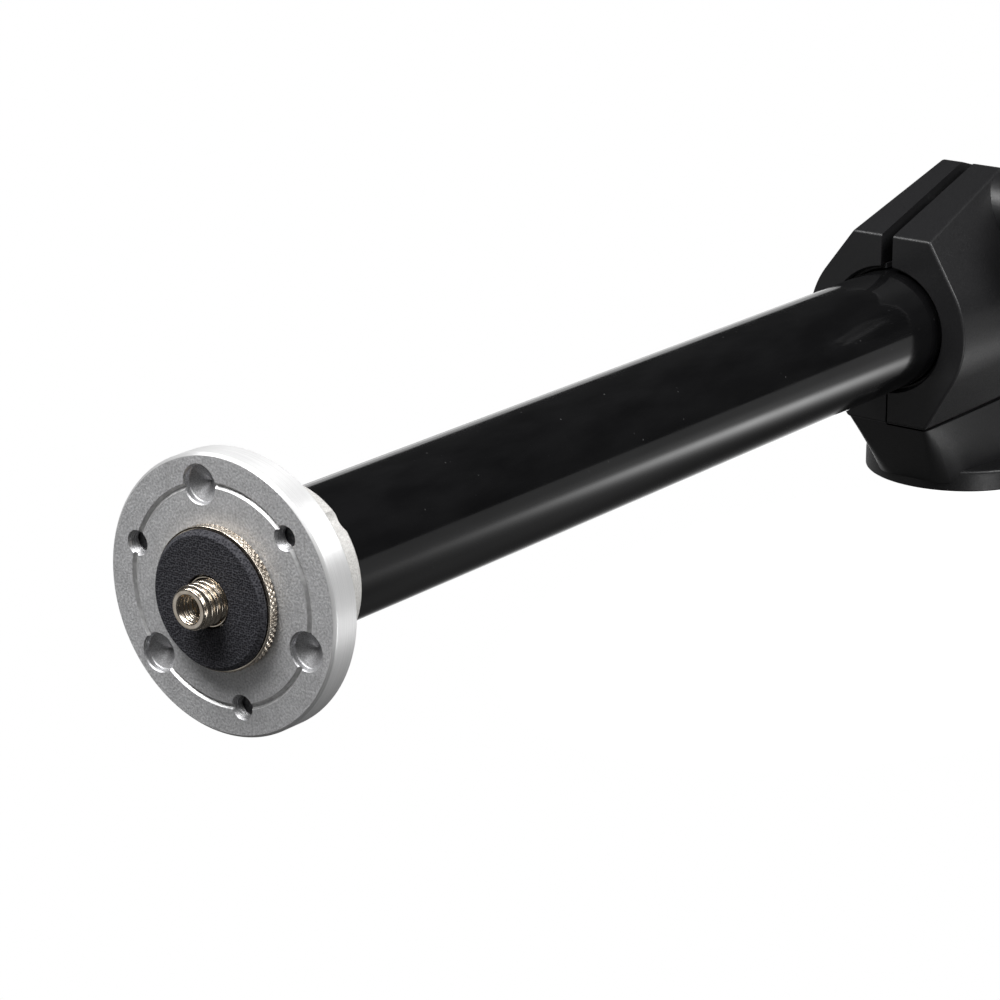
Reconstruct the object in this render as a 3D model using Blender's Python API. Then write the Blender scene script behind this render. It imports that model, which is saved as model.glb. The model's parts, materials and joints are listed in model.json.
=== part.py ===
"""Tripod side arm: a tube that slides and turns in a split clamp, with a camera platform on one end.

Run with: blender --background --python part.py
Units are metres and +Z is up. The origin is the centre of the clamp's foot, on its underside.
The tube runs along X. The platform is at the -X end, and the knob is on the -Y side.
Heights and sideways places of the clamp's features are given from the tube's axis.
"""
import math
from functools import partial

import bmesh
import bpy
import numpy as np
from mathutils import Matrix, Vector

# Clearances
GAP = 0.0003            # between pieces that touch on the real object
SPLIT_GAP = 0.0005      # between the jaw and the body under the bore
JAW_FLOOR_GAP = 0.0006  # between the jaw's underside and the neck
THREAD_GAP = 0.00045    # round the clamp screw in its nut, because the screw tilts with the jaw

# Arm tube
ARM_LENGTH = 0.600      # from the platform's face to the end of the plug
TUBE_RADIUS = 0.0153
TUBE_WALL = 0.0020
AXIS_HEIGHT = 0.0462    # tube axis above the foot's underside

# Platform casting: a disc with a socket for the tube behind it
PLATFORM_X = -ARM_LENGTH / 2
DISC_RADIUS = 0.0300
DISC_THICKNESS = 0.0073
RIM_CHAMFER = 0.0006
HUB_RADIUS = 0.0198
HUB_REACH = 0.0216      # from the platform's face to the hub's rear edge
HUB_CHAMFER = 0.0007
WEB_DEPTH = 0.0090      # from the platform's face to the floor of the tube's socket
PITCH_RADIUS = 0.0234   # the circle of the six holes and of the groove
GROOVE_HALF_WIDTH = 0.00075
GROOVE_FLOOR_HALF_WIDTH = 0.00015
GROOVE_DEPTH = 0.0008
LARGE_HOLE_RADIUS = 0.0041
LARGE_HOLE_DEPTH = 0.0014       # of the straight wall
DRILL_POINT = 0.0024            # depth of the cone that the drill leaves below it
LARGE_HOLE_ANGLES = (77.5, 197.5, 317.5)    # degrees from +Y towards +Z
SMALL_HOLE_RADIUS = 0.0025
SMALL_HOLE_ANGLES = (17.5, 137.5, 257.5)
KEY_GROOVE_RADIUS = 0.0048                  # scallops in the hub behind the small holes
SET_SCREW_LENGTH = 0.0050
SET_SCREW_RECESS = 0.0024
SET_SCREW_SOCKET_RADIUS = 0.00145
SET_SCREW_SOCKET_DEPTH = 0.0022
HUB_SCREW_RADIUS = 0.0017
HUB_SCREW_ANGLE = 317.5
HUB_SCREW_X = 0.0150                        # from the platform's face
HUB_SCREW_SOCKET_RADIUS = 0.0010
HUB_SCREW_SOCKET_DEPTH = 0.0020

# Camera stud, 3/8 inch with 16 threads to the inch, tapped 1/4 inch with 20 to the inch
STUD_RADIUS = 0.00476
STUD_ROOT_RADIUS = 0.0040
STUD_PITCH = 0.0254 / 16
STUD_REACH = 0.0096     # in front of the platform's face
STUD_TIP_CHAMFER = 0.0004
STUD_THREAD_START = 0.0010   # behind the platform's face, where the plain shank ends
STUD_FLANGE_RADIUS = 0.0090
STUD_FLANGE_THICKNESS = 0.0030
TAPPED_MAJOR_RADIUS = 0.003175
TAPPED_MINOR_RADIUS = 0.00265
TAPPED_PITCH = 0.0254 / 20
TAPPED_DEPTH = 0.0070
TAPPED_MOUTH_RADIUS = 0.0034

# Lock disc and its rubber pad, in front of the platform
LOCK_DISC_RADIUS = 0.0155
LOCK_DISC_THICKNESS = 0.0023
LOCK_DISC_BEVEL = 0.0004
LOCK_BOSS_RADIUS = 0.0053       # round the stud, inside the pad's hole
LOCK_BOSS_HEIGHT = 0.0014
KNURL_TEETH = 72
KNURL_DEPTH = 0.0003
PAD_RADIUS = 0.0148
PAD_THICKNESS = 0.0014
PAD_BEVEL = 0.0009
PAD_HOLE_RADIUS = 0.0057

# Clamp block, split in two along the tube
CLAMP_LENGTH = 0.0800
BARREL_RADIUS = 0.0232
END_TOP_HEIGHT = 0.0248
END_TOP_FAR = 0.0105    # edge of the flat top on the far side, +Y, and on the near side
END_TOP_NEAR = 0.0120
RIDGE_HEIGHT = 0.0366
RIDGE_FAR = 0.0080
RIDGE_NEAR = 0.0095
RIDGE_HALF_LENGTH = 0.0003
FLOOR_DEPTH = 0.0250
FLOOR_FAR = 0.0106
FLOOR_NEAR = 0.0125
BODY_FACE_Y = 0.0020    # the body's face in the slot above the bore
JAW_FACE_Y = -0.00135   # the jaw's face, above and below the bore
MOUTH_RADIUS = 0.0163
LINER_SEAT_RADIUS = 0.0173
LIP_THICKNESS = 0.0020
MOUTH_CHAMFER = 0.0005

# Split nylon liner
LINER_WALL = 0.0014
LINER_SLOT = 0.0030

# Neck and foot
NECK_TOE_HALF_WIDTH = 0.0075    # of the neck's end faces, where they meet the foot
NECK_BULGE = 0.0085             # how far the neck's sides swell at the foot
NECK_INSET = 0.00005            # of the neck's end faces inside the block's
NECK_STATIONS = 5
NECK_TOE_HEIGHT = 0.0024    # where the neck meets the foot's side, above the underside
FOOT_RADIUS = 0.0244
FOOT_THICKNESS = 0.0057
FOOT_BEVEL = 0.0012
SOCKET_RADIUS = 0.0073      # hole in the casting for the threaded insert
SOCKET_DEPTH = 0.0165
INSERT_LENGTH = 0.0140
INSERT_MAJOR_RADIUS = 0.00476
INSERT_MINOR_RADIUS = 0.0041

# Hinge under the bore
PIN_Y = -0.0080
PIN_DROP = 0.0214
PIN_RADIUS = 0.0020
PIN_BLIND_X = -0.0320       # the pin goes in from the rear and stops here
PIN_REAR_INSET = 0.0015
LUG_RADIUS = 0.0037
LUG_HALF_LENGTH = 0.0240

# Clamp screw, nut, spring, washers and knob
SCREW_HEIGHT = 0.0250
SCREW_RADIUS = 0.0029
SCREW_HOLE_RADIUS = 0.0036
SCREW_TIP_Y = 0.0110
SCREW_HEAD_ACROSS = 0.0100
SCREW_HEAD_THICKNESS = 0.0040
NUT_ACROSS = 0.0100
NUT_THICKNESS = 0.0050
NUT_SEAT_Y = 0.0050
SPRING_MEAN_RADIUS = 0.0043
SPRING_WIRE_RADIUS = 0.0005
SPRING_TURNS = 6
SPRING_STEPS = 10           # straight steps in one turn
SPRING_POCKET_DEPTH = 0.0080
BOSS_RADIUS = 0.0095
BOSS_ROOT_RADIUS = 0.0110
BOSS_ROOT_Y = -0.0080
BOSS_FACE_Y = -0.0240
WASHER_RADIUS = 0.0090
NYLON_WASHER_THICKNESS = 0.0010
STEEL_WASHER_THICKNESS = 0.0012
KNOB_RADIUS = 0.0220
KNOB_VALLEY_RADIUS = 0.0175
KNOB_LOBES = 6
KNOB_COLLAR_RADIUS = 0.0105
KNOB_HEAD_SEAT = 0.0100     # from the knob's inner face to the screw head's seat
KNOB_LOBE_SHARPNESS = 0.7   # below 1 the lobes are broad and the valleys narrow
KNOB_DEPTH = 0.0240
KNOB_COLLAR_LENGTH = 0.0030
KNOB_FLARE_LENGTH = 0.0030  # along the screw, from the collar to the full lobes
KNOB_ROUNDING = 0.0040      # along the screw, from the full lobes to the outer face
KNOB_FACE_DROP = 0.32       # share of the lobes' height that the rounding takes off
CAP_RADIUS = 0.0085
CAP_THICKNESS = 0.0020

# End plug
PLUG_FLANGE = 0.0030
PLUG_REACH = 0.0160
PLUG_WALL = 0.0020
PLUG_BEVEL = 0.0008

# Facets
FINE = 72
MEDIUM = 48
COARSE = 24
THREAD = 20
STEPS_PER_THREAD = 4
KNOB_FLARE_STEPS = 3
KNOB_ROUNDING_STEPS = 2
BEYOND = 0.0010             # how far a cutter reaches past what it cuts

TUBE_START = PLATFORM_X + WEB_DEPTH + GAP
TUBE_END = ARM_LENGTH / 2 - PLUG_FLANGE - GAP
TUBE_INNER = TUBE_RADIUS - TUBE_WALL
HALF_CLAMP = CLAMP_LENGTH / 2
ALONG_X = Vector((1, 0, 0))
ALONG_Y = Vector((0, 1, 0))
ALONG_Z = Vector((0, 0, 1))


def clear_scene():
    for item in list(bpy.data.objects):
        bpy.data.objects.remove(item, do_unlink=True)


def make_material(name, colour, roughness, metallic):
    material = bpy.data.materials.new(name)
    material.use_nodes = True
    shader = material.node_tree.nodes["Principled BSDF"]
    shader.inputs["Base Color"].default_value = (*colour, 1.0)
    shader.inputs["Roughness"].default_value = roughness
    shader.inputs["Metallic"].default_value = metallic
    return material


def frame_along(direction, origin):
    """A matrix that lays local +Z along the direction, with the local origin at the given point."""
    turn = ALONG_Z.rotation_difference(Vector(direction)).to_matrix().to_4x4()
    return Matrix.Translation(Vector(origin)) @ turn


def loft(rings, closed=False):
    """Skins rings that have equal point counts. The ends are capped, or joined to each other if closed."""
    mesh = bmesh.new()
    rows = [[mesh.verts.new(point) for point in ring] for ring in rings]
    pairs = list(zip(rows, rows[1:]))
    if closed:
        pairs.append((rows[-1], rows[0]))
    for low, high in pairs:
        count = len(low)
        for i in range(count):
            j = (i + 1) % count
            mesh.faces.new((low[i], low[j], high[j], high[i]))
    if not closed:
        mesh.faces.new(reversed(rows[0]))
        mesh.faces.new(rows[-1])
    bmesh.ops.recalc_face_normals(mesh, faces=mesh.faces)
    return mesh


def circle(radius, along, segments, radius_at=None):
    """One ring about local Z. radius_at(angle) replaces the radius where the ring isn't round."""
    ring = []
    for i in range(segments):
        angle = 2 * math.pi * i / segments
        reach = radius if radius_at is None else radius_at(angle)
        ring.append((reach * math.cos(angle), reach * math.sin(angle), along))
    return ring


def hexagon_ring(across, along):
    """A hexagon with the given width across its flats, drawn with as many points as a coarse circle."""
    def reach(angle):
        return across / 2 / math.cos((angle % (math.pi / 3)) - math.pi / 6)
    return circle(0, along, COARSE, reach)


def turned(profile, segments, closed=False):
    """A turned solid about local Z from (along, radius) points."""
    return loft([circle(radius, along, segments) for along, radius in profile], closed)


def rod(radius, start, end, segments):
    return turned([(start, radius), (end, radius)], segments)


def hexagon_prism(across, start, end):
    return loft([hexagon_ring(across, start), hexagon_ring(across, end)])


def box(low, high):
    mesh = bmesh.new()
    bmesh.ops.create_cube(mesh, size=1.0)
    size = [b - a for a, b in zip(low, high)]
    centre = [(a + b) / 2 for a, b in zip(low, high)]
    bmesh.ops.scale(mesh, vec=size, verts=mesh.verts)
    bmesh.ops.translate(mesh, vec=centre, verts=mesh.verts)
    return mesh


def place(mesh, direction, origin):
    """Turns and moves a local solid into the model."""
    bmesh.ops.transform(mesh, matrix=frame_along(direction, origin), verts=mesh.verts)
    return mesh


def to_object(name, mesh, origin=(0, 0, 0)):
    """Makes an object whose own origin lies at the given point, and leaves the solid where it is."""
    bmesh.ops.translate(mesh, vec=-Vector(origin), verts=mesh.verts)
    data = bpy.data.meshes.new(name)
    mesh.to_mesh(data)
    mesh.free()
    item = bpy.data.objects.new(name, data)
    item.location = origin
    bpy.context.scene.collection.objects.link(item)
    return item


def piece(name, mesh, material, origin=(0, 0, 0), smooth_angle=35.0):
    item = to_object(name, mesh, origin)
    item.data.materials.append(material)
    item.data.shade_smooth()
    item.data.set_sharp_from_angle(angle=math.radians(smooth_angle))
    return item


def combine(target, operation, name, mesh):
    """Cuts a helper solid out of the target, or joins it on. The helper itself isn't part of the object."""
    helper = to_object(name, mesh)
    helper.hide_render = True
    helper.display_type = "WIRE"
    step = target.modifiers.new(name, "BOOLEAN")
    step.operation = operation
    step.object = helper
    step.solver = "EXACT"


def cut(target, name, mesh):
    combine(target, "DIFFERENCE", name, mesh)


def join(target, name, mesh):
    combine(target, "UNION", name, mesh)


def thread_wave(along, angle, pitch):
    """0 in the root and 1 on the crest of a screw thread, with short flats on both."""
    turn = along / pitch - angle / (2 * math.pi)
    ramp = 1 - abs(2 * (turn - math.floor(turn)) - 1)
    return min(1.0, max(0.0, 1.5 * ramp - 0.25))


def thread_ring(along, root, crest, pitch, segments):
    """One ring of a thread, between its root and crest radii."""
    def reach(angle):
        return root + (crest - root) * thread_wave(along, angle, pitch)
    return circle(root, along, segments, reach)


def outward_at(angle):
    """The direction straight out from the tube's axis, at an angle in degrees from +Y towards +Z."""
    turn = math.radians(angle)
    return Vector((0, math.cos(turn), math.sin(turn)))


def on_axis(x):
    return Vector((x, 0, AXIS_HEIGHT))


def on_pitch_circle(angle, x):
    return on_axis(x) + PITCH_RADIUS * outward_at(angle)


def screw_point(y):
    return Vector((0, y, AXIS_HEIGHT + SCREW_HEIGHT))


PIN_POINT = Vector((0, PIN_Y, AXIS_HEIGHT - PIN_DROP))


def make_arm_tube(material):
    profile = [(TUBE_START, TUBE_INNER), (TUBE_START, TUBE_RADIUS),
               (TUBE_END, TUBE_RADIUS), (TUBE_END, TUBE_INNER)]
    solid = place(turned(profile, FINE, closed=True), ALONG_X, on_axis(0))
    return piece("arm_tube", solid, material, on_axis(0))


def make_end_plug(material):
    inner = TUBE_INNER - GAP
    end = ARM_LENGTH / 2
    flange = end - PLUG_FLANGE
    reach = flange - PLUG_REACH
    hollow = inner - PLUG_WALL
    profile = [(reach, hollow), (reach, inner), (flange, inner), (flange, TUBE_RADIUS),
               (end - PLUG_BEVEL, TUBE_RADIUS), (end, TUBE_RADIUS - PLUG_BEVEL)]
    rings = [circle(radius, along, MEDIUM) for along, radius in profile]
    rings.insert(0, circle(hollow, flange, MEDIUM))
    solid = place(loft(rings), ALONG_X, on_axis(0))
    return piece("end_plug", solid, material, on_axis(0))


def make_platform_plate(material):
    stud_hole = STUD_RADIUS + GAP
    tube_socket = TUBE_RADIUS + GAP
    rear_edge = HUB_REACH - HUB_CHAMFER
    face_edge = DISC_RADIUS - RIM_CHAMFER
    profile = [(0, stud_hole), (0, face_edge), (RIM_CHAMFER, DISC_RADIUS),
               (DISC_THICKNESS - RIM_CHAMFER, DISC_RADIUS), (DISC_THICKNESS, face_edge),
               (DISC_THICKNESS, HUB_RADIUS), (rear_edge, HUB_RADIUS),
               (HUB_REACH, HUB_RADIUS - HUB_CHAMFER), (HUB_REACH, tube_socket),
               (WEB_DEPTH, tube_socket), (WEB_DEPTH, stud_hole)]
    solid = place(turned(profile, FINE, closed=True), ALONG_X, on_axis(PLATFORM_X))
    plate = piece("platform_plate", solid, material, on_axis(PLATFORM_X))
    groove = [(-BEYOND, PITCH_RADIUS - GROOVE_HALF_WIDTH), (-BEYOND, PITCH_RADIUS + GROOVE_HALF_WIDTH),
              (0, PITCH_RADIUS + GROOVE_HALF_WIDTH), (GROOVE_DEPTH, PITCH_RADIUS + GROOVE_FLOOR_HALF_WIDTH),
              (GROOVE_DEPTH, PITCH_RADIUS - GROOVE_FLOOR_HALF_WIDTH), (0, PITCH_RADIUS - GROOVE_HALF_WIDTH)]
    cut(plate, "groove_cutter", place(turned(groove, FINE, closed=True), ALONG_X, on_axis(PLATFORM_X)))
    for number, angle in enumerate(LARGE_HOLE_ANGLES, 1):
        drill = turned([(-BEYOND, LARGE_HOLE_RADIUS), (LARGE_HOLE_DEPTH, LARGE_HOLE_RADIUS),
                        (LARGE_HOLE_DEPTH + DRILL_POINT, LARGE_HOLE_RADIUS / COARSE)], MEDIUM)
        cut(plate, f"large_hole_cutter_{number}", place(drill, ALONG_X, on_pitch_circle(angle, PLATFORM_X)))
    for number, angle in enumerate(SMALL_HOLE_ANGLES, 1):
        centre = on_pitch_circle(angle, PLATFORM_X)
        drill = rod(SMALL_HOLE_RADIUS, -BEYOND, DISC_THICKNESS + BEYOND, COARSE)
        cut(plate, f"small_hole_cutter_{number}", place(drill, ALONG_X, centre))
        scallop = rod(KEY_GROOVE_RADIUS, DISC_THICKNESS, HUB_REACH + BEYOND, MEDIUM)
        cut(plate, f"key_groove_cutter_{number}", place(scallop, ALONG_X, centre))
    outward = outward_at(HUB_SCREW_ANGLE)
    hub_hole = HUB_SCREW_RADIUS + GAP
    drill = rod(hub_hole, TUBE_INNER, HUB_RADIUS + BEYOND, COARSE)
    cut(plate, "hub_screw_cutter", place(drill, outward, on_axis(PLATFORM_X + HUB_SCREW_X)))
    return plate


def socket_screw(radius, length, socket_radius, socket_depth):
    """A headless screw from 0 to its length, with a hexagon socket in its far end."""
    rings = [circle(radius - GAP, 0, COARSE), circle(radius, GAP, COARSE), circle(radius, length, COARSE)]
    across = 2 * socket_radius * math.cos(math.pi / 6)
    rings.append(hexagon_ring(across, length))
    rings.append(hexagon_ring(across, length - socket_depth))
    return loft(rings)


def make_set_screws(material):
    made = []
    for number, angle in enumerate(SMALL_HOLE_ANGLES, 1):
        solid = socket_screw(SMALL_HOLE_RADIUS - GAP, SET_SCREW_LENGTH, SET_SCREW_SOCKET_RADIUS,
                             SET_SCREW_SOCKET_DEPTH)
        start = on_pitch_circle(angle, PLATFORM_X + SET_SCREW_RECESS)
        made.append(piece(f"set_screw_{number}", place(solid, ALONG_X, start), material, start))
    return made


def make_hub_screw(material):
    outward = outward_at(HUB_SCREW_ANGLE)
    start = TUBE_RADIUS + GAP
    length = HUB_RADIUS - GAP - start
    solid = socket_screw(HUB_SCREW_RADIUS, length, HUB_SCREW_SOCKET_RADIUS, HUB_SCREW_SOCKET_DEPTH)
    origin = on_axis(PLATFORM_X + HUB_SCREW_X) + outward * start
    return piece("hub_screw", place(solid, outward, origin), material, origin)


def make_camera_stud(material):
    flange_face = WEB_DEPTH + GAP
    flange_back = flange_face + STUD_FLANGE_THICKNESS
    tip = -STUD_REACH
    rings = [circle(STUD_FLANGE_RADIUS, flange_back, THREAD), circle(STUD_FLANGE_RADIUS, flange_face, THREAD),
             circle(STUD_RADIUS, flange_face, THREAD), circle(STUD_RADIUS, STUD_THREAD_START, THREAD)]
    rise = STUD_PITCH / STEPS_PER_THREAD
    first = STUD_THREAD_START - rise
    count = int((first - tip - STUD_TIP_CHAMFER) / rise)
    for i in range(count):
        rings.append(thread_ring(first - i * rise, STUD_ROOT_RADIUS, STUD_RADIUS, STUD_PITCH, THREAD))
    rings.append(circle(STUD_ROOT_RADIUS + STUD_TIP_CHAMFER, tip, THREAD))
    rings.append(circle(TAPPED_MOUTH_RADIUS, tip, THREAD))
    mouth = tip + TAPPED_MOUTH_RADIUS - TAPPED_MINOR_RADIUS
    rise = TAPPED_PITCH / STEPS_PER_THREAD
    count = int((tip + TAPPED_DEPTH - mouth) / rise)
    for i in range(count):
        rings.append(thread_ring(mouth + i * rise, TAPPED_MAJOR_RADIUS, TAPPED_MINOR_RADIUS, TAPPED_PITCH,
                                 THREAD))
    rings.append(circle(TAPPED_MINOR_RADIUS, tip + TAPPED_DEPTH, THREAD))
    solid = place(loft(rings), ALONG_X, on_axis(PLATFORM_X))
    return piece("camera_stud", solid, material, on_axis(PLATFORM_X))


def make_lock_disc(material):
    """The knurled disc that screws along the stud."""
    def knurl(angle):
        crest = round(angle * KNURL_TEETH / math.pi) % 2 == 0
        return LOCK_DISC_RADIUS if crest else LOCK_DISC_RADIUS - KNURL_DEPTH
    count = KNURL_TEETH * 2
    rear = -GAP
    front = rear - LOCK_DISC_THICKNESS
    inner = STUD_RADIUS + GAP
    shoulder = LOCK_DISC_RADIUS - KNURL_DEPTH - LOCK_DISC_BEVEL
    tip = front - LOCK_BOSS_HEIGHT
    rings = [circle(inner, rear, count), circle(shoulder, rear, count),
             circle(0, rear - GAP, count, knurl), circle(0, front + LOCK_DISC_BEVEL, count, knurl),
             circle(shoulder, front, count), circle(LOCK_BOSS_RADIUS, front, count),
             circle(LOCK_BOSS_RADIUS, tip, count), circle(inner, tip, count)]
    solid = place(loft(rings, closed=True), ALONG_X, on_axis(PLATFORM_X))
    return piece("knurled_disc", solid, material, on_axis(PLATFORM_X), smooth_angle=20.0)


def make_rubber_pad(material):
    rear = -GAP - LOCK_DISC_THICKNESS - GAP
    front = rear - PAD_THICKNESS
    profile = [(rear, PAD_HOLE_RADIUS), (rear, PAD_RADIUS), (front + PAD_BEVEL, PAD_RADIUS),
               (front, PAD_RADIUS - PAD_BEVEL), (front, PAD_HOLE_RADIUS)]
    solid = place(turned(profile, MEDIUM, closed=True), ALONG_X, on_axis(PLATFORM_X))
    return piece("rubber_pad", solid, material, on_axis(PLATFORM_X))


def tangent_angle(y, z):
    """Where the straight flank from a corner meets the barrel, as an angle about the tube's axis."""
    spread = math.acos(BARREL_RADIUS / math.hypot(y, z))
    return math.atan2(z, y) - math.copysign(spread, z)


def clamp_side(top_edge, height, floor_edge):
    """One side of the clamp's outline, from the top's edge round the barrel to the floor's edge."""
    top = tangent_angle(top_edge, height)
    low = tangent_angle(floor_edge, -FLOOR_DEPTH)
    steps = COARSE // 2
    arc = [top + (low - top) * i / steps for i in range(steps + 1)]
    side = [(BARREL_RADIUS * math.cos(a), BARREL_RADIUS * math.sin(a)) for a in arc]
    return [(top_edge, height)] + side + [(floor_edge, -FLOOR_DEPTH)]


def clamp_outline(x, far_edge, near_edge, height):
    """The clamp's outline at one station along the tube."""
    far = clamp_side(far_edge, height, FLOOR_FAR)
    near = clamp_side(near_edge, height, FLOOR_NEAR)
    outline = far + [(-y, z) for y, z in reversed(near)]
    return [(x, y, AXIS_HEIGHT + z) for y, z in outline]


def clamp_block():
    """The whole clamp block before it is split. Its top ramps up from both ends to a short ridge."""
    stations = [(-HALF_CLAMP, END_TOP_FAR, END_TOP_NEAR, END_TOP_HEIGHT),
                (-RIDGE_HALF_LENGTH, RIDGE_FAR, RIDGE_NEAR, RIDGE_HEIGHT),
                (RIDGE_HALF_LENGTH, RIDGE_FAR, RIDGE_NEAR, RIDGE_HEIGHT),
                (HALF_CLAMP, END_TOP_FAR, END_TOP_NEAR, END_TOP_HEIGHT)]
    return loft([clamp_outline(*station) for station in stations])


def bore_cutter():
    """The bore, with a wider seat between two lips that holds the liner endways."""
    seat = HALF_CLAMP - LIP_THICKNESS
    half = [(seat, LINER_SEAT_RADIUS), (seat, MOUTH_RADIUS), (HALF_CLAMP - MOUTH_CHAMFER, MOUTH_RADIUS),
            (HALF_CLAMP + BEYOND, MOUTH_RADIUS + MOUTH_CHAMFER + BEYOND)]
    profile = [(-along, radius) for along, radius in reversed(half)] + half
    return place(turned(profile, FINE), ALONG_X, on_axis(0))


def neck_side(share, top_edge):
    """Half of the neck's outline. It starts at the end face's edge and swells by a half sine."""
    edge = top_edge + (NECK_TOE_HALF_WIDTH - top_edge) * share
    half_length = HALF_CLAMP - NECK_INSET + (FOOT_RADIUS - HALF_CLAMP) * share
    turns = [math.pi * i / COARSE for i in range(COARSE + 1)]
    return [(half_length * math.cos(a), edge + NECK_BULGE * share * math.sin(a)) for a in turns]


def neck_solid():
    """The neck between the block and the foot. Its end faces slope in, and its sides swell."""
    top = AXIS_HEIGHT - FLOOR_DEPTH + JAW_FLOOR_GAP
    rings = []
    for i in range(NECK_STATIONS):
        share = i / (NECK_STATIONS - 1)
        z = top + (NECK_TOE_HEIGHT - top) * share
        far = neck_side(share, FLOOR_FAR)
        near = neck_side(share, FLOOR_NEAR)
        rings.append([(x, y, z) for x, y in far] + [(x, -y, z) for x, y in reversed(near)])
    return loft(rings)


def foot_solid():
    profile = [(0, FOOT_RADIUS), (FOOT_THICKNESS - FOOT_BEVEL, FOOT_RADIUS),
               (FOOT_THICKNESS - FOOT_BEVEL / 3, FOOT_RADIUS - FOOT_BEVEL / 3),
               (FOOT_THICKNESS, FOOT_RADIUS - FOOT_BEVEL)]
    return turned(profile, FINE)


def lug_outline(radius, floor):
    """(y, z) points of a lug that is round about the hinge pin and stands on the given floor."""
    top = [math.pi * i / COARSE for i in range(COARSE + 1)]
    points = [(PIN_POINT.y + radius * math.cos(a), PIN_POINT.z + radius * math.sin(a)) for a in top]
    return points + [(PIN_POINT.y - radius, floor), (PIN_POINT.y + radius, floor)]


def lug_solid(radius, half_length, floor):
    rings = [[(x, y, z) for y, z in lug_outline(radius, floor)] for x in (-half_length, half_length)]
    return loft(rings)


def pin_hole_cutter():
    drill = rod(PIN_RADIUS + GAP, PIN_BLIND_X - GAP, HALF_CLAMP + BEYOND, COARSE)
    return place(drill, ALONG_X, PIN_POINT)


def make_clamp_body(material):
    """The far half of the clamp, its neck and its foot, in one casting."""
    body = piece("clamp_body", clamp_block(), material)
    join(body, "neck_helper", neck_solid())
    above = RIDGE_HEIGHT + BEYOND
    beside = BARREL_RADIUS + FOOT_RADIUS
    split_y = JAW_FACE_Y + SPLIT_GAP
    floor = -FLOOR_DEPTH - JAW_FLOOR_GAP
    outline = [(-beside, above), (BODY_FACE_Y, above), (BODY_FACE_Y, 0), (split_y, 0),
               (split_y, floor), (-beside, floor)]
    rings = [[(x, y, AXIS_HEIGHT + z) for y, z in outline] for x in (-CLAMP_LENGTH, CLAMP_LENGTH)]
    cut(body, "parting_cutter", loft(rings))
    join(body, "foot_helper", foot_solid())
    root = AXIS_HEIGHT + floor - FOOT_BEVEL
    join(body, "lug_helper", lug_solid(LUG_RADIUS, LUG_HALF_LENGTH, root))
    cut(body, "body_bore_cutter", bore_cutter())
    cut(body, "body_pin_cutter", pin_hole_cutter())
    drill = rod(SCREW_HOLE_RADIUS, 0, NUT_SEAT_Y + BEYOND, COARSE)
    cut(body, "body_screw_cutter", place(drill, ALONG_Y, screw_point(0)))
    pocket = hexagon_prism(NUT_ACROSS + 2 * GAP, NUT_SEAT_Y, BARREL_RADIUS)
    cut(body, "nut_pocket_cutter", place(pocket, ALONG_Y, screw_point(0)))
    cut(body, "socket_cutter", rod(SOCKET_RADIUS, -BEYOND, SOCKET_DEPTH, MEDIUM))
    return body


def make_clamp_jaw(material):
    """The near half of the clamp, which swings on the hinge pin and carries the knob's boss."""
    jaw = piece("clamp_jaw", clamp_block(), material, PIN_POINT)
    low = (-CLAMP_LENGTH, JAW_FACE_Y, 0)
    high = (CLAMP_LENGTH, BARREL_RADIUS + BEYOND, AXIS_HEIGHT + RIDGE_HEIGHT + BEYOND)
    cut(jaw, "jaw_face_cutter", box(low, high))
    boss = turned([(BOSS_FACE_Y, BOSS_RADIUS), (BOSS_ROOT_Y, BOSS_ROOT_RADIUS)], MEDIUM)
    join(jaw, "boss_helper", place(boss, ALONG_Y, screw_point(0)))
    cut(jaw, "jaw_bore_cutter", bore_cutter())
    floor = AXIS_HEIGHT - FLOOR_DEPTH - BEYOND
    lug_room = lug_solid(LUG_RADIUS + SPLIT_GAP, LUG_HALF_LENGTH + SPLIT_GAP, floor)
    cut(jaw, "lug_pocket_cutter", lug_room)
    cut(jaw, "jaw_pin_cutter", pin_hole_cutter())
    drill = rod(SCREW_HOLE_RADIUS, BOSS_FACE_Y - BEYOND, 0, COARSE)
    cut(jaw, "jaw_screw_cutter", place(drill, ALONG_Y, screw_point(0)))
    room = SPRING_MEAN_RADIUS + SPRING_WIRE_RADIUS + 2 * GAP
    pocket = rod(room, JAW_FACE_Y - SPRING_POCKET_DEPTH, 0, COARSE)
    cut(jaw, "spring_pocket_cutter", place(pocket, ALONG_Y, screw_point(0)))
    return jaw


def make_hinge_pin(material):
    end = HALF_CLAMP - PIN_REAR_INSET
    profile = [(PIN_BLIND_X, PIN_RADIUS - GAP), (PIN_BLIND_X + GAP, PIN_RADIUS),
               (end - GAP, PIN_RADIUS), (end, PIN_RADIUS - GAP)]
    solid = place(turned(profile, COARSE), ALONG_X, PIN_POINT)
    return piece("hinge_pin", solid, material, PIN_POINT)


def make_liner(material):
    """The split nylon liner, a C-shaped tube with its slot under the clamp's top slot."""
    inner = TUBE_RADIUS + GAP
    outer = inner + LINER_WALL
    half = HALF_CLAMP - LIP_THICKNESS - GAP
    spread = math.asin(LINER_SLOT / 2 / inner)
    angles = [spread + (2 * math.pi - 2 * spread) * i / MEDIUM for i in range(MEDIUM + 1)]
    outline = [(outer * math.sin(a), outer * math.cos(a)) for a in angles]
    outline += [(inner * math.sin(a), inner * math.cos(a)) for a in reversed(angles)]
    rings = [[(x, y, AXIS_HEIGHT + z) for y, z in outline] for x in (-half, half)]
    return piece("split_liner", loft(rings), material, on_axis(0))


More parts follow.
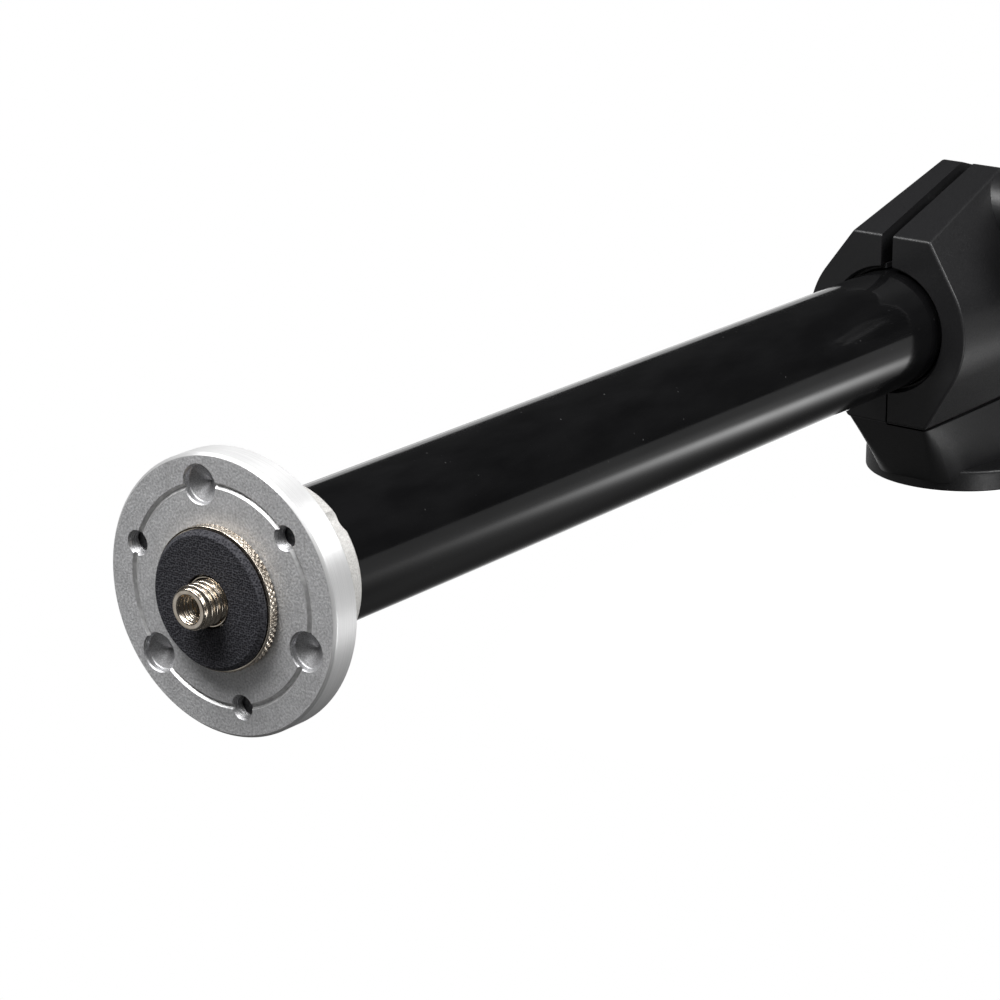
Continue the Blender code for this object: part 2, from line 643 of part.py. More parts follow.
def make_foot_insert(material):
    outer = SOCKET_RADIUS - GAP
    rise = STUD_PITCH / STEPS_PER_THREAD
    count = int(INSERT_LENGTH / rise)
    far = GAP + INSERT_LENGTH
    rings = [circle(INSERT_MAJOR_RADIUS, GAP, THREAD), circle(outer, GAP, THREAD),
             circle(outer, far, THREAD), circle(INSERT_MINOR_RADIUS, far, THREAD)]
    for i in range(1, count - 1):
        rings.append(thread_ring(far - i * rise, INSERT_MAJOR_RADIUS, INSERT_MINOR_RADIUS, STUD_PITCH,
                                 THREAD))
    return piece("foot_insert", loft(rings, closed=True), material)


def make_clamp_nut(material):
    near = NUT_SEAT_Y + GAP
    far = near + NUT_THICKNESS
    bore = SCREW_RADIUS + THREAD_GAP
    rings = [circle(bore, near, COARSE), hexagon_ring(NUT_ACROSS, near), hexagon_ring(NUT_ACROSS, far),
             circle(bore, far, COARSE)]
    solid = place(loft(rings, closed=True), ALONG_Y, screw_point(0))
    return piece("clamp_nut", solid, material, screw_point(0))


def washer_faces():
    """Y of each washer's inner and outer face, and of the knob's inner face."""
    nylon = BOSS_FACE_Y - GAP
    steel = nylon - NYLON_WASHER_THICKNESS - GAP
    knob = steel - STEEL_WASHER_THICKNESS - GAP
    return nylon, steel, knob


def make_washer(name, face, thickness, material):
    inner = SCREW_RADIUS + GAP
    back = face - thickness
    profile = [(back, inner), (back, WASHER_RADIUS), (face, WASHER_RADIUS), (face, inner)]
    solid = place(turned(profile, MEDIUM, closed=True), ALONG_Y, screw_point(0))
    return piece(name, solid, material, screw_point(0))


def make_clamp_screw(material):
    seat = washer_faces()[2] - KNOB_HEAD_SEAT
    shank = turned([(seat, SCREW_RADIUS), (SCREW_TIP_Y - GAP, SCREW_RADIUS),
                    (SCREW_TIP_Y, SCREW_RADIUS - GAP)], COARSE)
    screw = piece("clamp_screw", place(shank, ALONG_Y, screw_point(0)), material, screw_point(0))
    head = hexagon_prism(SCREW_HEAD_ACROSS, seat - SCREW_HEAD_THICKNESS, seat + GAP)
    join(screw, "screw_head_helper", place(head, ALONG_Y, screw_point(0)))
    return screw


def knob_radius(share, angle):
    """The knob's outline, from round (share 0) to lobed (share 1)."""
    wave = 0.5 + 0.5 * math.cos(KNOB_LOBES * angle)
    lobed = KNOB_VALLEY_RADIUS + (KNOB_RADIUS - KNOB_VALLEY_RADIUS) * wave ** KNOB_LOBE_SHARPNESS
    return KNOB_COLLAR_RADIUS + (lobed - KNOB_COLLAR_RADIUS) * share


def quarter_turn(steps):
    return [math.pi / 2 * i / steps for i in range(steps + 1)]


def knob_stations():
    """(depth, share) pairs: a round collar, a quarter-round flare to full lobes, and a rounded face."""
    stations = [(0, 0)]
    for turn in quarter_turn(KNOB_FLARE_STEPS):
        stations.append((KNOB_COLLAR_LENGTH + KNOB_FLARE_LENGTH * (1 - math.cos(turn)), math.sin(turn)))
    for turn in quarter_turn(KNOB_ROUNDING_STEPS):
        stations.append((KNOB_DEPTH - KNOB_ROUNDING * (1 - math.sin(turn)),
                         1 - KNOB_FACE_DROP * (1 - math.cos(turn))))
    return stations


def make_clamp_knob(material):
    inner = washer_faces()[2]
    rings = []
    for depth, share in knob_stations():
        rings.append(circle(0, inner - depth, FINE, partial(knob_radius, share)))
    solid = place(loft(rings), ALONG_Y, screw_point(0))
    knob = piece("clamp_knob", solid, material, screw_point(0))
    bore = rod(SCREW_RADIUS + GAP, inner - KNOB_DEPTH, inner + BEYOND, COARSE)
    cut(knob, "knob_bore_cutter", place(bore, ALONG_Y, screw_point(0)))
    seat = inner - KNOB_HEAD_SEAT - GAP
    pocket = hexagon_prism(SCREW_HEAD_ACROSS + 2 * GAP, inner - KNOB_DEPTH - BEYOND, seat + 2 * GAP)
    cut(knob, "knob_head_cutter", place(pocket, ALONG_Y, screw_point(0)))
    outer = inner - KNOB_DEPTH
    recess = rod(CAP_RADIUS + GAP, outer - BEYOND, outer + CAP_THICKNESS, MEDIUM)
    cut(knob, "knob_cap_cutter", place(recess, ALONG_Y, screw_point(0)))
    return knob


def make_knob_cap(material):
    outer = washer_faces()[2] - KNOB_DEPTH
    inner = outer + CAP_THICKNESS - GAP
    profile = [(outer - GAP, CAP_RADIUS - 2 * GAP), (outer, CAP_RADIUS), (inner, CAP_RADIUS)]
    solid = place(turned(profile, MEDIUM), ALONG_Y, screw_point(0))
    return piece("knob_cap", solid, material, screw_point(0))


def make_opening_spring(material):
    """A compression spring round the screw. It starts in the jaw's pocket and pushes on the body's face."""
    start = JAW_FACE_Y - SPRING_POCKET_DEPTH + GAP + SPRING_WIRE_RADIUS
    end = BODY_FACE_Y - GAP - SPRING_WIRE_RADIUS
    count = SPRING_TURNS * SPRING_STEPS + 1
    points = []
    for i in range(count):
        angle = 2 * math.pi * i / SPRING_STEPS
        along = start + (end - start) * i / (count - 1)
        points.append((SPRING_MEAN_RADIUS * math.cos(angle), along, SPRING_MEAN_RADIUS * math.sin(angle)))
    wire = bpy.data.curves.new("opening_spring", "CURVE")
    wire.dimensions = "3D"
    wire.bevel_depth = SPRING_WIRE_RADIUS
    wire.bevel_resolution = 1
    wire.use_fill_caps = True
    spline = wire.splines.new("POLY")
    spline.points.add(count - 1)
    spline.points.foreach_set("co", np.c_[np.array(points), np.ones(count)].ravel())
    wire.materials.append(material)
    spring = bpy.data.objects.new("opening_spring", wire)
    spring.location = screw_point(0)
    bpy.context.scene.collection.objects.link(spring)
    gap = (end - start) / SPRING_TURNS - 2 * SPRING_WIRE_RADIUS
    print(f"spring: gap between turns {gap * 1000:.2f} mm")


def main():
    clear_scene()
    black_casting = make_material("black_casting", (0.016, 0.016, 0.018), 0.42, 0.0)
    black_anodised = make_material("black_anodised", (0.008, 0.008, 0.009), 0.18, 0.0)
    cast_aluminium = make_material("cast_aluminium", (0.47, 0.47, 0.48), 0.45, 0.9)
    nickel = make_material("nickel", (0.66, 0.58, 0.48), 0.22, 1.0)
    steel = make_material("steel", (0.45, 0.45, 0.46), 0.35, 1.0)
    dark_steel = make_material("dark_steel", (0.10, 0.10, 0.11), 0.40, 1.0)
    rubber = make_material("rubber", (0.025, 0.026, 0.030), 0.75, 0.0)
    black_plastic = make_material("black_plastic", (0.020, 0.020, 0.021), 0.50, 0.0)
    nylon = make_material("nylon", (0.05, 0.05, 0.05), 0.55, 0.0)

    make_clamp_body(black_casting)
    make_foot_insert(steel)
    make_clamp_nut(steel)
    make_hinge_pin(steel)

    make_clamp_jaw(black_casting)
    make_opening_spring(steel)
    nylon_face, steel_face, _ = washer_faces()
    make_washer("nylon_washer", nylon_face, NYLON_WASHER_THICKNESS, nylon)
    make_washer("steel_washer", steel_face, STEEL_WASHER_THICKNESS, steel)
    make_clamp_screw(steel)
    make_clamp_knob(black_plastic)
    make_knob_cap(black_plastic)

    make_liner(nylon)
    make_arm_tube(black_anodised)
    make_end_plug(black_plastic)
    make_platform_plate(cast_aluminium)
    make_hub_screw(dark_steel)
    make_camera_stud(nickel)
    make_set_screws(dark_steel)
    make_lock_disc(nickel)
    make_rubber_pad(rubber)


main()
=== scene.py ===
# %% [markdown]
# # A tripod side arm, dressed for its portrait
# The side arm is a black tube that slides and turns in a split clamp. A round platform on its end takes a
# camera or a tripod head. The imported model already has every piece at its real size, so this script only
# gives the pieces their fine shapes and their finishes, and lights them like the photograph.

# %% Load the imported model
import json
import math

import bmesh
import bpy
import numpy as np
from mathutils import Matrix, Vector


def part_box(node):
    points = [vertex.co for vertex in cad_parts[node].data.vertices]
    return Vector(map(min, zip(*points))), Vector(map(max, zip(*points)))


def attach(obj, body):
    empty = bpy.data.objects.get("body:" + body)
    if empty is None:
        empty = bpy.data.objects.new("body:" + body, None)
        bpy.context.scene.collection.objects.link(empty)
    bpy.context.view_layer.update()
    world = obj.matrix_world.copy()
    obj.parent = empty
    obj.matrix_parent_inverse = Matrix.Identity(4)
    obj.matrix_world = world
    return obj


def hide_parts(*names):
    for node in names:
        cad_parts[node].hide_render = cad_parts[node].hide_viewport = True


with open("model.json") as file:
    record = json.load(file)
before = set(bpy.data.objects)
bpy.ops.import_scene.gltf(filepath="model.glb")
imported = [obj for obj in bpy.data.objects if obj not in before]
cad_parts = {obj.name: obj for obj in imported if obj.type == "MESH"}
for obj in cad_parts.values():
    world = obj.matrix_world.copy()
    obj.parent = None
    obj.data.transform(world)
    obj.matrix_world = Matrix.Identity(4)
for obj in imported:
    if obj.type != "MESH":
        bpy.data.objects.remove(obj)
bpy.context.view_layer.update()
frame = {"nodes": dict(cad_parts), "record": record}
body_of = {node: body for body, nodes in frame["record"]["behaviour"]["bodies"].items() for node in nodes}
MM = 0.001


def mm(*sizes):
    """Several sizes in millimetres, as metres."""
    return [size * MM for size in sizes]


X, Y, Z = np.eye(3)
print("pieces in the model:", len(frame["nodes"]))

# %% [markdown]
# ## Measure the frame
# Nothing is placed by eye. The tube's axis, the platform's face and the clamp screw's line come from the
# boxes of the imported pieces, and every new surface below starts from them.

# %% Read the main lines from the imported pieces
tube_low, tube_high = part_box("arm_tube")
TUBE_RADIUS = (tube_high.z - tube_low.z) / 2
AXIS_Z = (tube_high.z + tube_low.z) / 2
plate_low, plate_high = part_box("platform_plate")
FACE_X = plate_low.x
DISC_RADIUS = (plate_high.z - plate_low.z) / 2
knob_low, knob_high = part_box("clamp_knob")
SCREW_Z = (knob_high.z + knob_low.z) / 2
pin_low, pin_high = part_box("hinge_pin")


def on_axis(x):
    return np.array((x, 0.0, AXIS_Z))


def on_screw(y):
    return np.array((0.0, y, SCREW_Z))


print("mm: tube radius %.1f, axis at %.1f, screw at %.1f" % (TUBE_RADIUS / MM, AXIS_Z / MM, SCREW_Z / MM))

# %% [markdown]
# ## Surfaces from rings
# Almost every piece of the arm was made on a lathe or extruded, so one idea makes most of them. A profile
# is turned about a line, and its radius may also change with the angle, which gives threads, knurls and
# lobes. The rings are whole numpy arrays, and the mesh gets them in one go.


# %% Turn a profile about a line
def turned(along, radius, centre, axis, segments=128):
    """Rings of points: centre + along * axis + radius * (cos(angle) * side + sin(angle) * up).

    along holds one value for each ring. radius holds one for each ring, or one for each point of each ring.
    The angle starts from X, and from Y if the line runs along X.
    """
    along = np.asarray(along, float)[:, None]
    radius = np.asarray(radius, float)
    radius = radius[:, None] if radius.ndim == 1 else radius
    angle = np.linspace(0, 2 * math.pi, segments, endpoint=False)
    side = Y if axis[0] else X
    up = np.cross(axis, side)
    outward = np.cos(angle)[:, None] * side + np.sin(angle)[:, None] * up
    return centre + along[..., None] * axis + radius[..., None] * outward


def all_round(radius, segments):
    """Each of the given radii, kept the same at every angle, to go between rings that do change."""
    return np.outer(radius, np.ones(segments))


def ring_quads(rows, columns, wrap):
    """The corner numbers of every quad between neighbouring rings. wrap joins the last ring to the first."""
    row = np.arange(rows if wrap else rows - 1)[:, None]
    column = np.arange(columns)[None, :]
    next_row, next_column = (row + 1) % rows, (column + 1) % columns
    corners = (row * columns + column, row * columns + next_column,
               next_row * columns + next_column, next_row * columns + column)
    return np.stack(np.broadcast_arrays(*corners), axis=-1).reshape(-1, 4)


# %% [markdown]
# A turned corner is never quite sharp. Each corner of a profile is swapped for a short curve that starts a
# little before it and ends a little after it. The bright edge lines of the photograph come from these.


# %% Round the corners of a profile
def eased(profile, reach, steps=5, closed=False):
    """A curve for each corner: (1 - s)^2 * start + 2 s (1 - s) * corner + s^2 * end, with s from 0 to 1.

    start and end lie the given reach from the corner, on the lines to its neighbours.
    """
    corner = np.asarray(profile, float)
    reach = np.broadcast_to(np.asarray(reach, float), len(corner)).copy()
    if not closed:
        reach[[0, -1]] = 0
    before = np.roll(corner, 1, axis=0) - corner
    after = np.roll(corner, -1, axis=0) - corner
    before /= np.linalg.norm(before, axis=1, keepdims=True)
    after /= np.linalg.norm(after, axis=1, keepdims=True)
    start, end = corner + before * reach[:, None], corner + after * reach[:, None]
    s = np.linspace(0, 1, steps)[None, :, None]
    curve = (1 - s) ** 2 * start[:, None] + 2 * s * (1 - s) * corner[:, None] + s ** 2 * end[:, None]
    points = curve.reshape(-1, 2)
    apart = np.linalg.norm(points - np.roll(points, 1, axis=0), axis=1) > 1e-7
    apart[0] = True
    return points[apart]


def lathed(corners, reach, centre, axis, segments=128, **easing):
    """Rings for a profile whose corners, (along, radius), are rounded first."""
    return turned(*eased(corners, reach, **easing).T, centre, axis, segments)


# %% [markdown]
# ## From rings to a finished piece
# A piece stands for one CAD node: it rides on the node's body and hides the node.
# Faces are turned outwards by Blender, and edges sharper than 35 degrees stay crisp.


# %% Make pieces out of rings
def in_scene(name, data):
    made = bpy.data.objects.new(name, data)
    bpy.context.scene.collection.objects.link(made)
    return made


def new_object(name, points, faces, materials):
    mesh = bpy.data.meshes.new(name)
    mesh.from_pydata(points.tolist(), [], faces)
    for material in materials:
        mesh.materials.append(material)
    work = bmesh.new()
    work.from_mesh(mesh)
    bmesh.ops.recalc_face_normals(work, faces=work.faces)
    work.to_mesh(mesh)
    work.free()
    return in_scene(name, mesh)


def skinned(name, rings, materials, wrap=False, bands=None):
    """A closed surface over the rings. bands gives the material's number for each strip between rings."""
    rows, columns = rings.shape[:2]
    faces = ring_quads(rows, columns, wrap).tolist()
    if not wrap:
        faces += [list(range(columns)), list(range((rows - 1) * columns, rows * columns))]
    made = new_object(name, rings.reshape(-1, 3), faces, materials)
    if bands is not None:
        numbers = np.repeat(np.asarray(bands), columns)
        numbers = np.append(numbers, [] if wrap else [bands[0], bands[-1]]).astype(np.int32)
        made.data.polygons.foreach_set("material_index", numbers)
    return made


def shade(mesh, crisp):
    mesh.shade_smooth()
    mesh.set_sharp_from_angle(angle=math.radians(crisp))


def smooth(piece, crisp=35.0):
    """Smooth shading that keeps crisp edges, with normals that follow the larger faces."""
    shade(piece.data, crisp)
    step = piece.modifiers.new("even_normals", "WEIGHTED_NORMAL")
    step.keep_sharp = True
    return piece


def stands_for(piece, node):
    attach(piece, body_of[node])
    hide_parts(node)
    print(f"{piece.name}: {len(piece.data.polygons)} faces, for {node}")
    return piece


def finished(name, node, rings, material, wrap=False, crisp=35.0):
    """A piece of one material, from its rings to its place in the model."""
    return stands_for(smooth(skinned(name, rings, [material], wrap), crisp), node)


def rejoined(mesh, flat):
    """Merges doubles, and joins the loose triangles of each face that is flat to within the given angle."""
    work = bmesh.new()
    work.from_mesh(mesh)
    bmesh.ops.remove_doubles(work, verts=work.verts, dist=0.001 * MM)
    bmesh.ops.dissolve_limit(work, angle_limit=math.radians(flat), verts=work.verts, edges=work.edges)
    work.to_mesh(mesh)
    work.free()


def carve(piece, cutters, operation="DIFFERENCE"):
    """Takes the cutters out of the piece, or joins them on, with their materials, and removes them."""
    for cutter in cutters:
        step = piece.modifiers.new(cutter.name, "BOOLEAN")
        step.operation = operation
        step.solver = "EXACT"
        step.material_mode = "TRANSFER"
        step.object = cutter
    cut = piece.evaluated_get(bpy.context.evaluated_depsgraph_get())
    shape = bpy.data.meshes.new_from_object(cut)
    piece.modifiers.clear()
    piece.data = shape
    for cutter in cutters:
        bpy.data.objects.remove(cutter)
    return piece


# %% [markdown]
# ## Finishes
# Each finish is a Principled shader with its plain values on its own sockets, and a few nodes for what
# varies over the surface: grain, turning marks, specks. All patterns read Object coordinates in metres, so
# a scale of 4000 means a grain of about a quarter of a millimetre.


# %% Helpers for materials
def feed(material, socket, value):
    """An input gets a link where a node's output is given, and a value of its own otherwise."""
    if isinstance(value, bpy.types.NodeSocket):
        material.node_tree.links.new(value, socket)
    else:
        socket.default_value = value


def add_node(material, kind, settings=(), **inputs):
    made = material.node_tree.nodes.new("ShaderNode" + kind)
    for name, value in settings:
        setattr(made, name, value)
    for name, value in inputs.items():
        feed(material, made.inputs[name.replace("_", " ")], value)
    return made


def new_finish(name, colour, roughness, metallic=0.0, **sockets):
    material = bpy.data.materials.new(name)
    material.use_nodes = True
    values = {"Base Color": (*colour, 1), "Roughness": roughness, "Metallic": metallic, **sockets}
    for socket, value in values.items():
        shader_input(material, socket.replace("_", " "), value)
    return material


def shader_input(material, name, value):
    feed(material, material.node_tree.nodes["Principled BSDF"].inputs[name], value)


def place(material, scale=(1, 1, 1)):
    """Object coordinates, stretched along each axis."""
    where = add_node(material, "TexCoord").outputs["Object"]
    return add_node(material, "Mapping", Vector=where, Scale=scale).outputs["Vector"]


def noise(material, scale, detail=3.0, stretch=(1, 1, 1)):
    return add_node(material, "TexNoise", Vector=place(material, stretch), Scale=scale,
                    Detail=detail).outputs["Fac"]


def ramped(material, factor, low, high, at=(0.35, 0.65)):
    """A colour that runs from low to high while the factor runs between the two stops."""
    ramp = add_node(material, "ValToRGB", Fac=factor)
    ramp.color_ramp.elements[0].position, ramp.color_ramp.elements[1].position = at
    ramp.color_ramp.elements[0].color = (*low, 1)
    ramp.color_ramp.elements[1].color = (*high, 1)
    return ramp.outputs["Color"]


def mapped(material, value, start, end, low=0.0, high=1.0, kind="LINEAR"):
    """Runs from low to high while the value runs from start to end, straight or as a smooth step."""
    return add_node(material, "MapRange", (("interpolation_type", kind),), Value=value, From_Min=start,
                    From_Max=end, To_Min=low, To_Max=high).outputs["Result"]


def spread(material, factor, low, high):
    """The factor's middle range, mapped to run from low to high."""
    return mapped(material, factor, 0.3, 0.7, low, high)


def maths(material, operation, first, second):
    made = add_node(material, "Math", (("operation", operation),))
    feed(material, made.inputs[0], first)
    feed(material, made.inputs[1], second)
    return made.outputs["Value"]


def raised(material, height, distance, **below):
    """A bump as deep as the distance, in metres, on top of another bump if that is given as Normal."""
    bump = add_node(material, "Bump", Height=height, Distance=distance, Strength=1.0, **below)
    shader_input(material, "Normal", bump.outputs["Normal"])
    return bump.outputs["Normal"]


def speckled(name, colour, roughness, metallic, grain, low, high, depth, rough=None, cloud=None, **more):
    """A finish whose grain, (scale, detail), moves its relief, its gloss if rough is given, and its colour
    unless that has a cloud of its own.
    """
    finish = new_finish(name, colour, roughness, metallic, **more)
    grains = noise(finish, *grain)
    shades = noise(finish, *cloud) if cloud else grains
    shader_input(finish, "Base Color", ramped(finish, shades, low, high))
    if rough:
        shader_input(finish, "Roughness", spread(finish, grains, *rough))
    raised(finish, grains, depth)
    return finish


# %% [markdown]
# ### The platform's metals
# The platform is a sand casting. Its face keeps the sandy skin, with fine light and dark grains, and its
# back and hub are blasted finer. The rim was turned afterwards, so it is brighter and has fine lines that
# run round it. The groove is turned as well, and the holes are drilled metal, coloured darker than bare
# drilled metal as painted shade inside them. The plainer finishes differ only in their numbers, so one
# helper makes them all.


# %% Cast, turned and drilled aluminium
def make_cast_aluminium():
    finish = new_finish("cast_aluminium", (0.55, 0.55, 0.56), 0.5, 0.4)
    grains = noise(finish, 1900, 4)
    patches = noise(finish, 260, 3)
    colour = ramped(finish, grains, (0.52, 0.52, 0.53), (0.80, 0.80, 0.81))
    cloudy = add_node(finish, "MixRGB", (("blend_type", "MULTIPLY"),), Fac=0.6, Color1=colour,
                      Color2=ramped(finish, patches, (0.78, 0.78, 0.78), (1.0, 1.0, 1.0)))
    shader_input(finish, "Base Color", cloudy.outputs["Color"])
    shader_input(finish, "Roughness", spread(finish, grains, 0.42, 0.6))
    raised(finish, grains, 0.00012)
    return finish


def make_turned_aluminium():
    """The tool's marks run round the rim, so light spreads across them, along X."""
    finish = new_finish("turned_aluminium", (0.9, 0.9, 0.9), 0.4, 0.5, Anisotropic=0.8)
    lines = noise(finish, 60, 2, stretch=(160, 1, 1))
    grains = noise(finish, 5000, 2)
    across = add_node(finish, "CombineXYZ", X=1.0, Y=0.0, Z=0.0).outputs["Vector"]
    shader_input(finish, "Tangent", across)
    shader_input(finish, "Base Color", ramped(finish, lines, (0.74, 0.74, 0.74), (0.84, 0.84, 0.84)))
    shader_input(finish, "Roughness", spread(finish, grains, 0.36, 0.46))
    raised(finish, grains, 0.00001, Normal=raised(finish, lines, 0.000004))
    return finish


CAST = make_cast_aluminium()
TURNED = make_turned_aluminium()
BLASTED = speckled("blasted_aluminium", (0.62, 0.61, 0.59), 0.5, 0.35, grain=(3000, 4),
                   low=(0.52, 0.51, 0.49), high=(0.72, 0.71, 0.69), depth=0.00006, rough=(0.45, 0.6))
GROOVED = speckled("grooved_aluminium", (0.85, 0.85, 0.85), 0.4, 0.6, grain=(900, 2),
                   low=(0.56, 0.56, 0.56), high=(0.72, 0.72, 0.72), depth=0.00002, rough=(0.36, 0.48))
# the holes' drilled metal is coloured darker than bare drilled metal: painted shade inside the holes
DRILLED_WITH_PAINTED_SHADE = speckled("drilled_aluminium_painted_shade", (0.7, 0.7, 0.71), 0.42, 0.8, grain=(3800, 3),
                   low=(0.42, 0.42, 0.43), high=(0.66, 0.66, 0.67), depth=0.00003, rough=(0.36, 0.5))
print("platform finishes:", CAST.name, TURNED.name, BLASTED.name, GROOVED.name, DRILLED_WITH_PAINTED_SHADE.name)

# %% [markdown]
# ### The black finishes
# The tube is extruded aluminium with a glossy black anodised skin: very smooth, more mirror-like than
# paint, with faint lines along it, faint smears and a few specks of dust. The clamp is coated in satin
# black with a fine orange-peel texture. The knob, plug and liner are plastics, duller still.


# %% Anodised, coated and plastic blacks
def make_black_anodised():
    finish = new_finish("black_anodised", (0.004, 0.004, 0.0045), 0.1, IOR=1.55)
    lines = noise(finish, 4000, 2, stretch=(0.004, 1, 1))
    haze = noise(finish, 90, 3)
    smears = noise(finish, 160, 5, stretch=(0.3, 1, 1))
    cells = add_node(finish, "TexVoronoi", Vector=place(finish), Scale=420.0, Randomness=1.0)
    speck = mapped(finish, cells.outputs["Distance"], 0.04, 0.12, 1.0, 0.0)
    chosen = mapped(finish, noise(finish, 260, 1), 0.60, 0.66, 0.0, 0.3)
    dust = maths(finish, "MULTIPLY", speck, chosen)
    skin = ramped(finish, smears, (0.0032, 0.0032, 0.0035), (0.0058, 0.0058, 0.0062))
    colour = add_node(finish, "MixRGB", Fac=dust, Color1=skin, Color2=(0.20, 0.20, 0.20, 1))
    shader_input(finish, "Base Color", colour.outputs["Color"])
    shader_input(finish, "Roughness", spread(finish, haze, 0.08, 0.14))
    raised(finish, lines, 0.000002)
    return finish


ANODISED = make_black_anodised()
SATIN = speckled("satin_black", (0.02, 0.02, 0.022), 0.4, 0.0, grain=(2600, 3), cloud=(7000, 2),
                 low=(0.006, 0.006, 0.0065), high=(0.017, 0.017, 0.018), depth=0.00003, rough=(0.32, 0.48))
MOULDED = speckled("black_moulding", (0.018, 0.018, 0.019), 0.5, 0.0, grain=(3200, 4),
                   low=(0.013, 0.013, 0.014), high=(0.028, 0.028, 0.029), depth=0.00005, rough=(0.42, 0.6))
NYLON = speckled("dark_nylon", (0.04, 0.04, 0.042), 0.5, 0.0, grain=(900, 3), low=(0.018, 0.018, 0.019),
                 high=(0.032, 0.032, 0.034), depth=0.00003, Subsurface_Weight=0.02)
print("black finishes:", ANODISED.name, SATIN.name, MOULDED.name, NYLON.name)

# %% [markdown]
# ### Nickel, steel and rubber
# The stud and the lock disc are nickel plated, which is warmer than chrome. The clamp's small parts are
# zinc-plated steel, and the set screws blackened steel. The pad is charcoal rubber with a fine, even grain.


# %% Nickel, steels and rubber
def make_rubber():
    finish = new_finish("grained_rubber", (0.04, 0.04, 0.045), 0.7, Specular_IOR_Level=0.15)
    cells = add_node(finish, "TexVoronoi", Vector=place(finish), Scale=2000.0, Randomness=0.7)
    grain = cells.outputs["Distance"]
    shader_input(finish, "Base Color", ramped(finish, grain, (0.012, 0.012, 0.016), (0.076, 0.076, 0.085),
                                              at=(0.15, 0.75)))
    raised(finish, grain, 0.00018)
    return finish


NICKEL = speckled("warm_nickel", (0.72, 0.64, 0.54), 0.2, 1.0, grain=(1400, 2), cloud=(700, 3),
                  low=(0.60, 0.52, 0.43), high=(0.80, 0.73, 0.63), depth=0.000001, rough=(0.19, 0.27))
ZINC = speckled("zinc_steel", (0.5, 0.5, 0.51), 0.34, 1.0, grain=(1100, 3), low=(0.40, 0.40, 0.41),
                high=(0.60, 0.60, 0.60), depth=0.00001, rough=(0.27, 0.42))
BLACK_STEEL = speckled("black_steel", (0.09, 0.09, 0.1), 0.42, 0.9, grain=(1800, 3),
                       low=(0.06, 0.06, 0.065), high=(0.13, 0.13, 0.135), depth=0.00001)
RUBBER = make_rubber()
print("metals and rubber:", NICKEL.name, ZINC.name, BLACK_STEEL.name, RUBBER.name)

# %% [markdown]
# ## The tube
# The tube is a plain pipe, and its whole look is in its reflections, so it has many narrow strips round it.
# Its ends are hidden in the platform's hub and under the plug's flange.

# %% The arm tube and its end plug
TUBE_WALL = 2.0 * MM
PLUG_FIT, PLUG_WALL, PLUG_FLANGE = mm(0.3, 2, 3.0)
DISH_DEPTH, DISH_RADIUS = mm(0.6, 9.0)


def make_tube():
    start, end = tube_low.x, tube_high.x
    corners = [(start, TUBE_RADIUS - TUBE_WALL), (start, TUBE_RADIUS), (end, TUBE_RADIUS),
               (end, TUBE_RADIUS - TUBE_WALL)]
    rings = lathed(corners, mm(0, 0.3, 0.3, 0), on_axis(0), X, 256, closed=True)
    return finished("tube", "arm_tube", rings, ANODISED, wrap=True)


def make_plug():
    low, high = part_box("end_plug")
    outer = TUBE_RADIUS - TUBE_WALL - PLUG_FIT
    flange, dish = high.x - PLUG_FLANGE, high.x - DISH_DEPTH
    corners = [(flange, outer - PLUG_WALL), (low.x, outer - PLUG_WALL), (low.x, outer), (flange, outer),
               (flange, TUBE_RADIUS), (high.x, TUBE_RADIUS), (high.x, DISH_RADIUS + DISH_DEPTH),
               (dish, DISH_RADIUS), (dish, 2 * MM)]
    reach = mm(0, 0, 0.3, 0, 0.2, 1.3, 0.4, 0.4, 0)
    return finished("end_cap", "end_plug", lathed(corners, reach, on_axis(0), X), MOULDED)


make_tube()
make_plug()

# %% [markdown]
# ## The platform
# The disc and its hub are one casting, turned on a lathe. Its profile carries the rounded rim and the
# groove that joins the holes. Then the holes are cut: three wide ones with a drill's cone for a floor,
# three small ones with a thread, and a scallop in the hub behind each small one for the hexagon key.

# %% The platform's sizes
STUD_BORE = 5.06 * MM
DISC_THICKNESS, RIM_EDGE = mm(7.3, 0.6)
HUB_RADIUS, HUB_REACH, HUB_EDGE = mm(19.8, 21.6, 0.7)
TUBE_FIT = 0.3 * MM
WEB_DEPTH = 9.0 * MM
PITCH_RADIUS = 23.4 * MM  # of the circle that the holes and the groove lie on
GROOVE_HALF_WIDTH, GROOVE_FLOOR = mm(0.63, 0.1)
GROOVE_DEPTH, KEY_GROOVE_RADIUS = mm(0.7, 4.8)
LARGE_HOLE_RADIUS, LARGE_HOLE_DEPTH, DRILL_POINT = mm(4.1, 1.4, 2.4)
LARGE_HOLE_ANGLES = np.radians((77.5, 197.5, 317.5))
SMALL_HOLE_ANGLES = np.radians((17.5, 137.5, 257.5))


def on_pitch_circle(angle):
    return on_axis(FACE_X) + PITCH_RADIUS * (math.cos(angle) * Y + math.sin(angle) * Z)


# %% [markdown]
# A screw thread is a wave that climbs one pitch in each turn. Its height depends on how far along the screw
# a point is, less its share of a turn. The same wave cuts the platform's small holes and shapes the stud.


# %% The thread's wave
def thread_height(along, pitch, segments):
    """0 in the root and 1 on the crest, for each ring and angle: a triangle wave with eased, flat tips."""
    turn = np.asarray(along)[:, None] / pitch - np.linspace(0, 1, segments, endpoint=False)[None, :]
    ramp = 1 - np.abs(2 * (turn % 1) - 1)
    flat = np.clip(1.2 * ramp - 0.1, 0, 1)
    return flat * flat * (3 - 2 * flat)


def faded(along, start, end):
    """0 before the start, 1 after the end, and an even rise between them."""
    return np.clip((np.asarray(along) - start) / (end - start), 0, 1)[:, None]


# %% Cutters for the platform's holes
BEYOND = 1.0 * MM  # how far a cutter reaches past what it cuts
HOLE_EDGE = 0.25 * MM
SMALL_CREST, SMALL_ROOT, SMALL_PITCH = mm(2.28, 2.62, 0.8)


